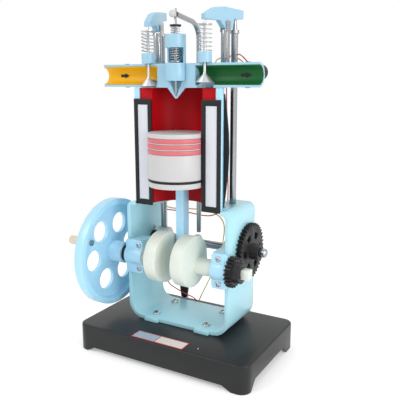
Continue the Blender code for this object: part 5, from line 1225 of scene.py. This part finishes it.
# Valve gear: a push rod in a plated tube, a light-blue rocker on a forked post, a valve and its spring.
# There is one set for the inlet and one for the exhaust.
PUSH_ROD_RADIUS = 0.0025
PUSH_ROD_TIP_RADIUS = 0.0010
PUSH_ROD_DOWN = 0.0021
TUBE_FOOT_Z = CAM_Z + CAM_LOBE + RUN
ROCKER_HEIGHT = 0.0417
ROCKER_Z = HEAD_TOP_Z + ROCKER_HEIGHT
TUBE_TOP_DROP = 0.009
TUBE_TOP_Z = ROCKER_Z - TUBE_TOP_DROP
TUBE_RING_RADIUS = 0.0052
TUBE_RING_HEIGHT = 0.004
ROCKER_THICKNESS = 0.0072
ROCKER_ARM = 0.033
ROCKER_PIN_RADIUS = 0.002
ROCKER_TIP_BACK = 0.0020
ROCKER_TAIL = 0.0110
ROCKER_UNDER = 0.0032
ROCKER_TIP = 0.0086
ROCKER_BROW = 0.0133
ROCKER_BROW_RISE = 0.0164
ROCKER_CREST = 0.0182
ROCKER_TAIL_RISE = 0.0165
ROCKER_SEAT = 0.0070
ROCKER_FOOT = 0.0044
ROCKER_FOOT_FRONT = 0.0044
ROCKER_FOOT_BACK = 0.0085
ROCKER_HOLLOW = 0.0123
ROCKER_STEP = 0.0112
ROCKER_UNDER_Z = ROCKER_Z + ROCKER_UNDER
ROCKER_SEAT_Z = ROCKER_Z + ROCKER_SEAT
CONTACT_GAP = 0.0006
POST_RADIUS = 0.0050
POST_TOP_DROP = 0.006
POST_TOP_Z = ROCKER_Z - POST_TOP_DROP
CHEEK_THICKNESS = 0.0012
CHEEK_HALF_WIDTH = 0.0032
CHEEK_RISE = 0.0032
RETAINER_RADIUS = 0.0082
RETAINER_THICKNESS = 0.001
RETAINER_DROP = 0.0022
RETAINER_Z = ROCKER_Z - RETAINER_DROP
SPRING_WIRE = 0.00055
SPRING_RADIUS = 0.0075
SPRING_CURLS = 6
CURL_POINTS = 28


def train_axes(side):
    """The places of the valve and the push rod, and unit directions along and across the rocker."""
    valve = Vector((ENGINE_X + side * VALVE_OFFSET, VALVE_Y, 0))
    foot = Vector((ENGINE_X + side * ROD_OFFSET, CAM_Y, 0))
    along = (foot - valve).normalized()
    return valve, foot, along, Vector((along.y, -along.x, 0))


def rocker_outline(side, tilt, low, high):
    """The rocker's side view, tilted about its pin, between two places across it."""
    valve, foot, along, across = train_axes(side)
    reach = (foot - valve).length
    pin = ROCKER_ARM
    tail = reach + ROCKER_TAIL
    upper = [(-ROCKER_TIP_BACK, ROCKER_Z + ROCKER_TIP), (ROCKER_BROW, ROCKER_Z + ROCKER_BROW_RISE),
             (pin - ROCKER_FOOT_FRONT, ROCKER_Z + ROCKER_CREST), (tail, ROCKER_Z + ROCKER_TAIL_RISE)]
    lower = [(tail, ROCKER_SEAT_Z), (pin + ROCKER_STEP, ROCKER_SEAT_Z),
             (pin + ROCKER_FOOT_BACK, ROCKER_Z - ROCKER_FOOT),
             (pin - ROCKER_FOOT_FRONT, ROCKER_Z - ROCKER_FOOT),
             (pin - ROCKER_HOLLOW, ROCKER_UNDER_Z + GAP), (-ROCKER_TIP_BACK, ROCKER_UNDER_Z)]
    rings = []
    for offset in (low, high):
        ring = []
        for s, z in upper + lower:
            run, rise = s - pin, z - ROCKER_Z
            turned_s = pin + run * math.cos(tilt) - rise * math.sin(tilt)
            turned_z = ROCKER_Z + run * math.sin(tilt) + rise * math.cos(tilt)
            ring.append(valve + along * turned_s + across * offset + Vector((0, 0, turned_z)))
        rings.append(ring)
    return rings


def cross_rod(centre, direction, half_length, radius):
    """A pin along any level direction."""
    other = Vector((0, 0, 1))
    level = direction.cross(other)
    rings = []
    for offset in (-half_length, half_length):
        rings.append([centre + direction * offset + level * a + other * b
                      for a, b in circle(radius, SMALL_ROUND)])
    return loft(rings)


def wound(name, points, radius, material, sides=4, keep_curve=False, rides=True):
    """A round wire along points; a free wire keeps its curve, and a spring rides on no one body."""
    data = bpy.data.curves.new(f"{name}_part", "CURVE")
    data.dimensions = "3D"
    data.bevel_depth = radius
    data.bevel_resolution = sides
    data.use_fill_caps = True
    spline = data.splines.new("POLY")
    spline.points.add(len(points) - 1)
    for slot_point, point in zip(spline.points, points):
        slot_point.co = (*(Vector(point) + SHIFT), 1)
    data.materials.append(material)
    piece = add(f"{name}_part", data)
    if not keep_curve:
        mesh = applied(piece)
        bpy.data.objects.remove(piece)
        piece = add(f"{name}_part", mesh)
        smooth(mesh)
    if rides:
        return settle(piece, BODY_OF[name], (name,))
    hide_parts(name)
    return piece


def helix(centre, low, high, radius, curls, wire):
    """Points of a coil spring, its ends run out straight for one wire diameter."""
    steps = curls * CURL_POINTS
    bottom, top = low + wire, high - wire
    points = []
    for step in range(steps + 1):
        angle = 2 * math.pi * step / CURL_POINTS
        points.append(Vector((centre[0] + radius * math.cos(angle), centre[1] + radius * math.sin(angle),
                              bottom + (top - bottom) * step / steps)))
    for end, inner in ((0, 1), (-1, -2)):
        lead = points[end] - points[inner]
        lead.z = 0
        tip = points[end] + lead.normalized() * 2 * wire
        points.insert(0, tip) if end == 0 else points.append(tip)
    return points


def spring_piece(name, centre, low, high, radius, curls, wire):
    """A coil spring, fixed where it is drawn; it rides on no one body."""
    piece = wound(name, helix(centre, low, high, radius, curls, wire), wire, STEEL, rides=False)
    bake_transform(piece)


def make_valve_train(word, side, lift):
    """One valve with its rocker and push rod; lift is how far the valve stands open at rest."""
    valve, foot, along, across = train_axes(side)
    back_arm = (foot - valve).length - ROCKER_ARM
    tilt = lift / ROCKER_ARM
    raised = lift * back_arm / ROCKER_ARM
    pivot = valve + along * ROCKER_ARM + Vector((0, 0, ROCKER_Z))
    half = ROCKER_THICKNESS / 2
    profile = stepped(TUBE_FOOT_Z, (GUIDE_RADIUS, TUBE_TOP_Z),
                      (TUBE_RING_RADIUS, TUBE_TOP_Z + TUBE_RING_HEIGHT),
                      (PUSH_ROD_RADIUS + GAP, TUBE_FOOT_Z))
    solid(f"{word}_push_rod_tube", turned("Z", foot, profile, SMALL_ROUND, True), CHROME)
    top = ROCKER_SEAT_Z - CONTACT_GAP + raised
    low = TUBE_FOOT_Z + PUSH_ROD_DOWN
    profile = stepped(low, (PUSH_ROD_RADIUS, top - PUSH_ROD_TIP_RADIUS)) + [(top, PUSH_ROD_TIP_RADIUS)]
    solid(f"{word}_push_rod", turned("Z", foot, profile, SMALL_ROUND), CHROME)
    hole = cross_rod(pivot, across, half + OVER, ROCKER_PIN_RADIUS + GAP)
    solid(f"{word}_rocker", loft(rocker_outline(side, tilt, -half, half)), HEAD_BLUE, (hole,))
    cheeks = []
    for way in (-1, 1):
        near, far = way * (half + GAP), way * (half + GAP + CHEEK_THICKNESS)
        outline = rectangle((-1, POST_TOP_Z - OVER - ROCKER_Z), (1, CHEEK_RISE))
        cheeks.append(loft([[pivot + across * offset + along * a * CHEEK_HALF_WIDTH + Vector((0, 0, b))
                             for a, b in outline] for offset in (near, far)]))
    pin = cross_rod(pivot, across, half + GAP + CHEEK_THICKNESS + GAP, ROCKER_PIN_RADIUS)
    solid(f"{word}_rocker_post", rod("Z", pivot, GUIDE_FLOOR_Z, POST_TOP_Z, POST_RADIUS), CHROME,
          joins=cheeks + [pin])
    base, seat = VALVE_CLOSED_Z - lift, RETAINER_Z - lift
    stem_top = ROCKER_UNDER_Z - CONTACT_GAP - lift
    profile = [(base, VALVE_RADIUS - GAP), (base + GAP, VALVE_RADIUS),
               (base + VALVE_HEIGHT, STEM_NECK_RADIUS)]
    profile += stepped(base + VALVE_HEIGHT + OVER, (STEM_RADIUS, seat),
                       (RETAINER_RADIUS, seat + RETAINER_THICKNESS),
                       (STEM_RADIUS, stem_top))
    solid(f"{word}_valve", turned("Z", valve, profile, SMALL_ROUND), SATIN)
    spring_piece(f"{word}_valve_spring", valve, GUIDE_FLOOR_Z + GUIDE_HEIGHT + GAP, seat - GAP,
                 SPRING_RADIUS, SPRING_CURLS, SPRING_WIRE)


STEEL = moulded("spring_steel", (0.52, 0.53, 0.54), 0.28, metallic=1.0, cloud_scale=90.0, variation=0.1)
SATIN = moulded("valve_white", (0.60, 0.61, 0.62), 0.34, metallic=0.7, cloud_scale=60.0, variation=0.08)
make_valve_train("intake", -1, INTAKE_REST_LIFT)
make_valve_train("exhaust", 1, 0.0)

# Injector works: a needle on a threaded rod with two springs, a white ball knob, and a bent tube.
# The tube runs back and down through the block to the middle cam.
COLLAR_RADIUS = 0.0068
COLLAR_RISE = 0.0007
COLLAR_Z = GUIDE_FLOOR_Z + COLLAR_RISE
COLLAR_THICKNESS = 0.0015
WASHER_RADIUS = 0.0061
WASHER_RISE = 0.0085
WASHER_Z = INJECTOR_TOP_Z + WASHER_RISE
WASHER_THICKNESS = 0.0015
WASHER_TRIM = 0.0002
ARM_RISE = 0.0213
ARM_Z = INJECTOR_TOP_Z + ARM_RISE
NEEDLE_TOP_RISE = 0.0060
NEEDLE_TOP_Z = ARM_Z + NEEDLE_TOP_RISE
NEEDLE_SPRING_RADIUS = 0.0056
TOP_SPRING_RADIUS = 0.0050
SMALL_WIRE = 0.00045
NEEDLE_SPRING_CURLS = 5
TOP_SPRING_CURLS = 3
ARM_RADIUS = 0.0029
ARM_BEND = 0.020
ARM_BEND_STEPS = 24
ARM_STEM_CLEARANCE = 0.0005
ARM_DROP = 0.004
ARM_SIDES = 6
PUMP_ROD_FOOT_Z = CAM_Z + PUMP_CAM_LOBE + RUN
BALL_RADIUS = 0.004
BALL_ROWS = 24


def make_injector_works():
    collar_top = COLLAR_Z + COLLAR_THICKNESS
    profile = [(NEEDLE_TIP_Z, NEEDLE_TIP_RADIUS)]
    profile += stepped(NEEDLE_TIP_Z + NEEDLE_POINT_LENGTH, (NEEDLE_RADIUS, COLLAR_Z),
                       (COLLAR_RADIUS, collar_top),
                       (THREAD_RADIUS, WASHER_Z), (WASHER_RADIUS, WASHER_Z + WASHER_THICKNESS),
                       (NEEDLE_RADIUS, NEEDLE_TOP_Z))
    solid("injector_needle", turned("Z", CENTRE, profile, SMALL_ROUND), CHROME)
    spring_piece("needle_spring", CENTRE, collar_top + GAP, INJECTOR_WINDOW_Z - GAP,
                 NEEDLE_SPRING_RADIUS, NEEDLE_SPRING_CURLS, SMALL_WIRE)
    spring_piece("top_spring", CENTRE, INJECTOR_TOP_Z + GAP, WASHER_Z - GAP,
                 TOP_SPRING_RADIUS, TOP_SPRING_CURLS, SMALL_WIRE)
    start = AXIS_Y + NEEDLE_RADIUS + ARM_STEM_CLEARANCE
    bend_z = ARM_Z - ARM_DROP
    points = [(ENGINE_X, start, ARM_Z)]
    for step in range(ARM_BEND_STEPS + 1):
        angle = math.pi / 2 * step / ARM_BEND_STEPS
        points.append((ENGINE_X, PUMP_ROD_Y - ARM_BEND + ARM_BEND * math.sin(angle),
                       bend_z - ARM_BEND + ARM_BEND * math.cos(angle)))
    points.append((ENGINE_X, PUMP_ROD_Y, PUMP_ROD_FOOT_Z))
    wound("injector_arm", points, ARM_RADIUS, CHROME, ARM_SIDES)
    ball_y = AXIS_Y - NEEDLE_RADIUS - GAP - BALL_RADIUS
    rows = [(ball_y - BALL_RADIUS * math.cos(math.pi * i / BALL_ROWS),
             BALL_RADIUS * math.sin(math.pi * i / BALL_ROWS)) for i in range(1, BALL_ROWS)]
    solid("injector_knob", turned("Y", (ENGINE_X, ARM_Z), rows, SMALL_ROUND), PISTON_WHITE)


make_injector_works()
solid("black_washer", tube("Z", CENTRE, WASHER_Z - WASHER_TRIM,
                           WASHER_Z + WASHER_THICKNESS + WASHER_TRIM, WASHER_RADIUS + WASHER_TRIM,
                           THREAD_RADIUS - WASHER_TRIM), BLACK, edge=0, trim_of="injector_needle")

# Lamps and switch: a black lamp holder behind each port, and a small lever switch behind the frame.
# Two insulated wires run from the base up behind the cylinder to the right lamp.
LAMP_RADIUS = 0.0083
LAMP_LENGTH = 0.011
LAMP_RISE = 0.0028
LAMP_Z = PIPE_Z + LAMP_RISE
LAMP_INSET = 0.0085
LAMP_Y = AXIS_Y + PIPE_OUTER + GAP
SWITCH_X = -0.0380
SWITCH_Y = FRAME_BACK + 0.0062
SWITCH_RADIUS = 0.0055
SWITCH_HEIGHT = 0.0055
SWITCH_WELL = 0.0027
SWITCH_WELL_FLOOR = 0.0012
SWITCH_PIVOT = 0.0045
LEVER_RADIUS = 0.0018
LEVER_FOOT_RADIUS = 0.0009
LEVER_SKIRT = 0.0011
LEVER_SKIRT_RADIUS = 0.0046
LEVER_LENGTH = 0.0150
LEVER_KNOB_RADIUS = 0.0062
LEVER_ROUNDING = 0.0014
WIRE_RADIUS = 0.0007
WIRE_POINTS = 240
WIRE_SIDES = 3
# The wires' routes: measured where they are seen, from the middle of the base.
RED_ROUTE = (
    (-0.0186, 0.0570, 0.0337), (-0.0187, 0.0568, 0.0370), (-0.0215, 0.0530, 0.0425),
    (-0.0300, 0.0470, 0.0480), (-0.0420, 0.0455, 0.0530), (-0.0550, 0.0490, 0.0560),
    (-0.0660, 0.0545, 0.0625), (-0.0760, 0.0560, 0.0740), (-0.0840, 0.0570, 0.0950),
    (-0.0860, 0.0570, 0.1200), (-0.0850, 0.0565, 0.1420), (-0.0740, 0.0560, 0.1560),
    (-0.0500, 0.0550, 0.1585), (-0.0263, 0.0545, 0.1580), (-0.0050, 0.0535, 0.1570),
    (0.0100, 0.0525, 0.1600), (0.0270, 0.0510, 0.1720), (0.0310, 0.0495, 0.1900),
    (0.0300, 0.0480, 0.2500), (0.0290, 0.0475, 0.3000), (0.0290, 0.0465, 0.3300),
    (0.0310, 0.0445, 0.3480), (0.0380, 0.0425, 0.3560), (0.0480, 0.0395, 0.3560),
    (0.0560, 0.0330, 0.3530), (0.0640, 0.0270, 0.3480), (0.0720, 0.0220, 0.3425),
    (0.0800, 0.0170, 0.3385), (0.0860, 0.0125, 0.3360), (0.0875, 0.0092, 0.3350))
YELLOW_ROUTE = (
    (-0.0154, 0.0605, 0.0336), (-0.0150, 0.0605, 0.0400), (0.0032, 0.0590, 0.0769),
    (0.0150, 0.0575, 0.1050), (0.0222, 0.0560, 0.1314), (0.0215, 0.0565, 0.1500),
    (0.0100, 0.0575, 0.1600), (-0.0100, 0.0580, 0.1630), (-0.0350, 0.0582, 0.1620),
    (-0.0560, 0.0580, 0.1605), (-0.0680, 0.0570, 0.1635), (-0.0740, 0.0560, 0.1720),
    (-0.0700, 0.0545, 0.1850), (-0.0560, 0.0530, 0.2050), (-0.0400, 0.0510, 0.2400),
    (-0.0200, 0.0500, 0.2850), (0.0020, 0.0490, 0.3200), (0.0120, 0.0465, 0.3380),
    (0.0156, 0.0440, 0.3480), (0.0210, 0.0410, 0.3515), (0.0340, 0.0385, 0.3540),
    (0.0430, 0.0380, 0.3535), (0.0510, 0.0365, 0.3500), (0.0590, 0.0300, 0.3460),
    (0.0680, 0.0220, 0.3420), (0.0760, 0.0170, 0.3385), (0.0820, 0.0125, 0.3360),
    (0.0836, 0.0092, 0.3350))


def smooth_route(route, count):
    """Evenly spaced points along a smooth curve through the route's own points."""
    points = [Vector(p) for p in route]
    padded = [2 * points[0] - points[1]] + points + [2 * points[-1] - points[-2]]
    fine = []
    for a, b, c, d in zip(padded, padded[1:], padded[2:], padded[3:]):
        for step in range(count // 4):
            t = step / (count // 4)
            fine.append(0.5 * (2 * b + (c - a) * t + (2 * a - 5 * b + 4 * c - d) * t * t
                               + (3 * b - a - 3 * c + d) * t * t * t))
    fine.append(points[-1])
    walked = [0.0]
    for before, after in zip(fine, fine[1:]):
        walked.append(walked[-1] + (after - before).length)
    even, place_now = [], 0
    for step in range(count):
        goal = walked[-1] * step / (count - 1)
        while place_now < len(fine) - 2 and walked[place_now + 1] < goal:
            place_now += 1
        span = walked[place_now + 1] - walked[place_now]
        even.append(fine[place_now].lerp(fine[place_now + 1], min(1.0, (goal - walked[place_now]) / span)))
    return even, walked[-1]


def make_lamps_switch_wires():
    for word, x in (("intake", HEAD_LEFT + LAMP_INSET), ("exhaust", HEAD_RIGHT - LAMP_INSET)):
        profile = stepped(LAMP_Y, (LAMP_RADIUS, LAMP_Y + LAMP_LENGTH - OVER))
        profile.append((LAMP_Y + LAMP_LENGTH, LAMP_RADIUS - OVER))
        solid(f"{word}_lamp", turned("Y", (x, LAMP_Z), profile, SMALL_ROUND), BLACK)
    centre = (SWITCH_X, SWITCH_Y)
    foot = FRAME_BOTTOM
    top = foot + SWITCH_HEIGHT
    solid("switch_body", rod("Z", centre, foot, top, SWITCH_RADIUS), CHROME,
          cuts=(rod("Z", centre, foot + SWITCH_WELL_FLOOR, top + OVER, SWITCH_WELL),))
    skirt = top + LEVER_SKIRT
    crown = skirt + LEVER_LENGTH
    profile = [(foot + SWITCH_WELL_FLOOR + GAP, LEVER_FOOT_RADIUS), (foot + SWITCH_PIVOT, LEVER_RADIUS),
               (skirt, LEVER_RADIUS), (skirt, LEVER_SKIRT_RADIUS),
               (crown - LEVER_ROUNDING, LEVER_KNOB_RADIUS),
               (crown, LEVER_KNOB_RADIUS - LEVER_ROUNDING)]
    solid("switch_lever", turned("Z", centre, profile, SMALL_ROUND), BLACK)
    for name, route, material in (("red_wire", RED_ROUTE, WIRE_RED),
                                  ("yellow_wire", YELLOW_ROUTE, WIRE_YELLOW)):
        points, length = smooth_route(route, WIRE_POINTS)
        wire = wound(name, points, WIRE_RADIUS, material, WIRE_SIDES, keep_curve=True)


WIRE_RED = moulded("wire_red", (0.55, 0.015, 0.02), 0.45, variation=0.1)
WIRE_YELLOW = moulded("wire_yellow", (0.72, 0.48, 0.04), 0.45, variation=0.1)
make_lamps_switch_wires()
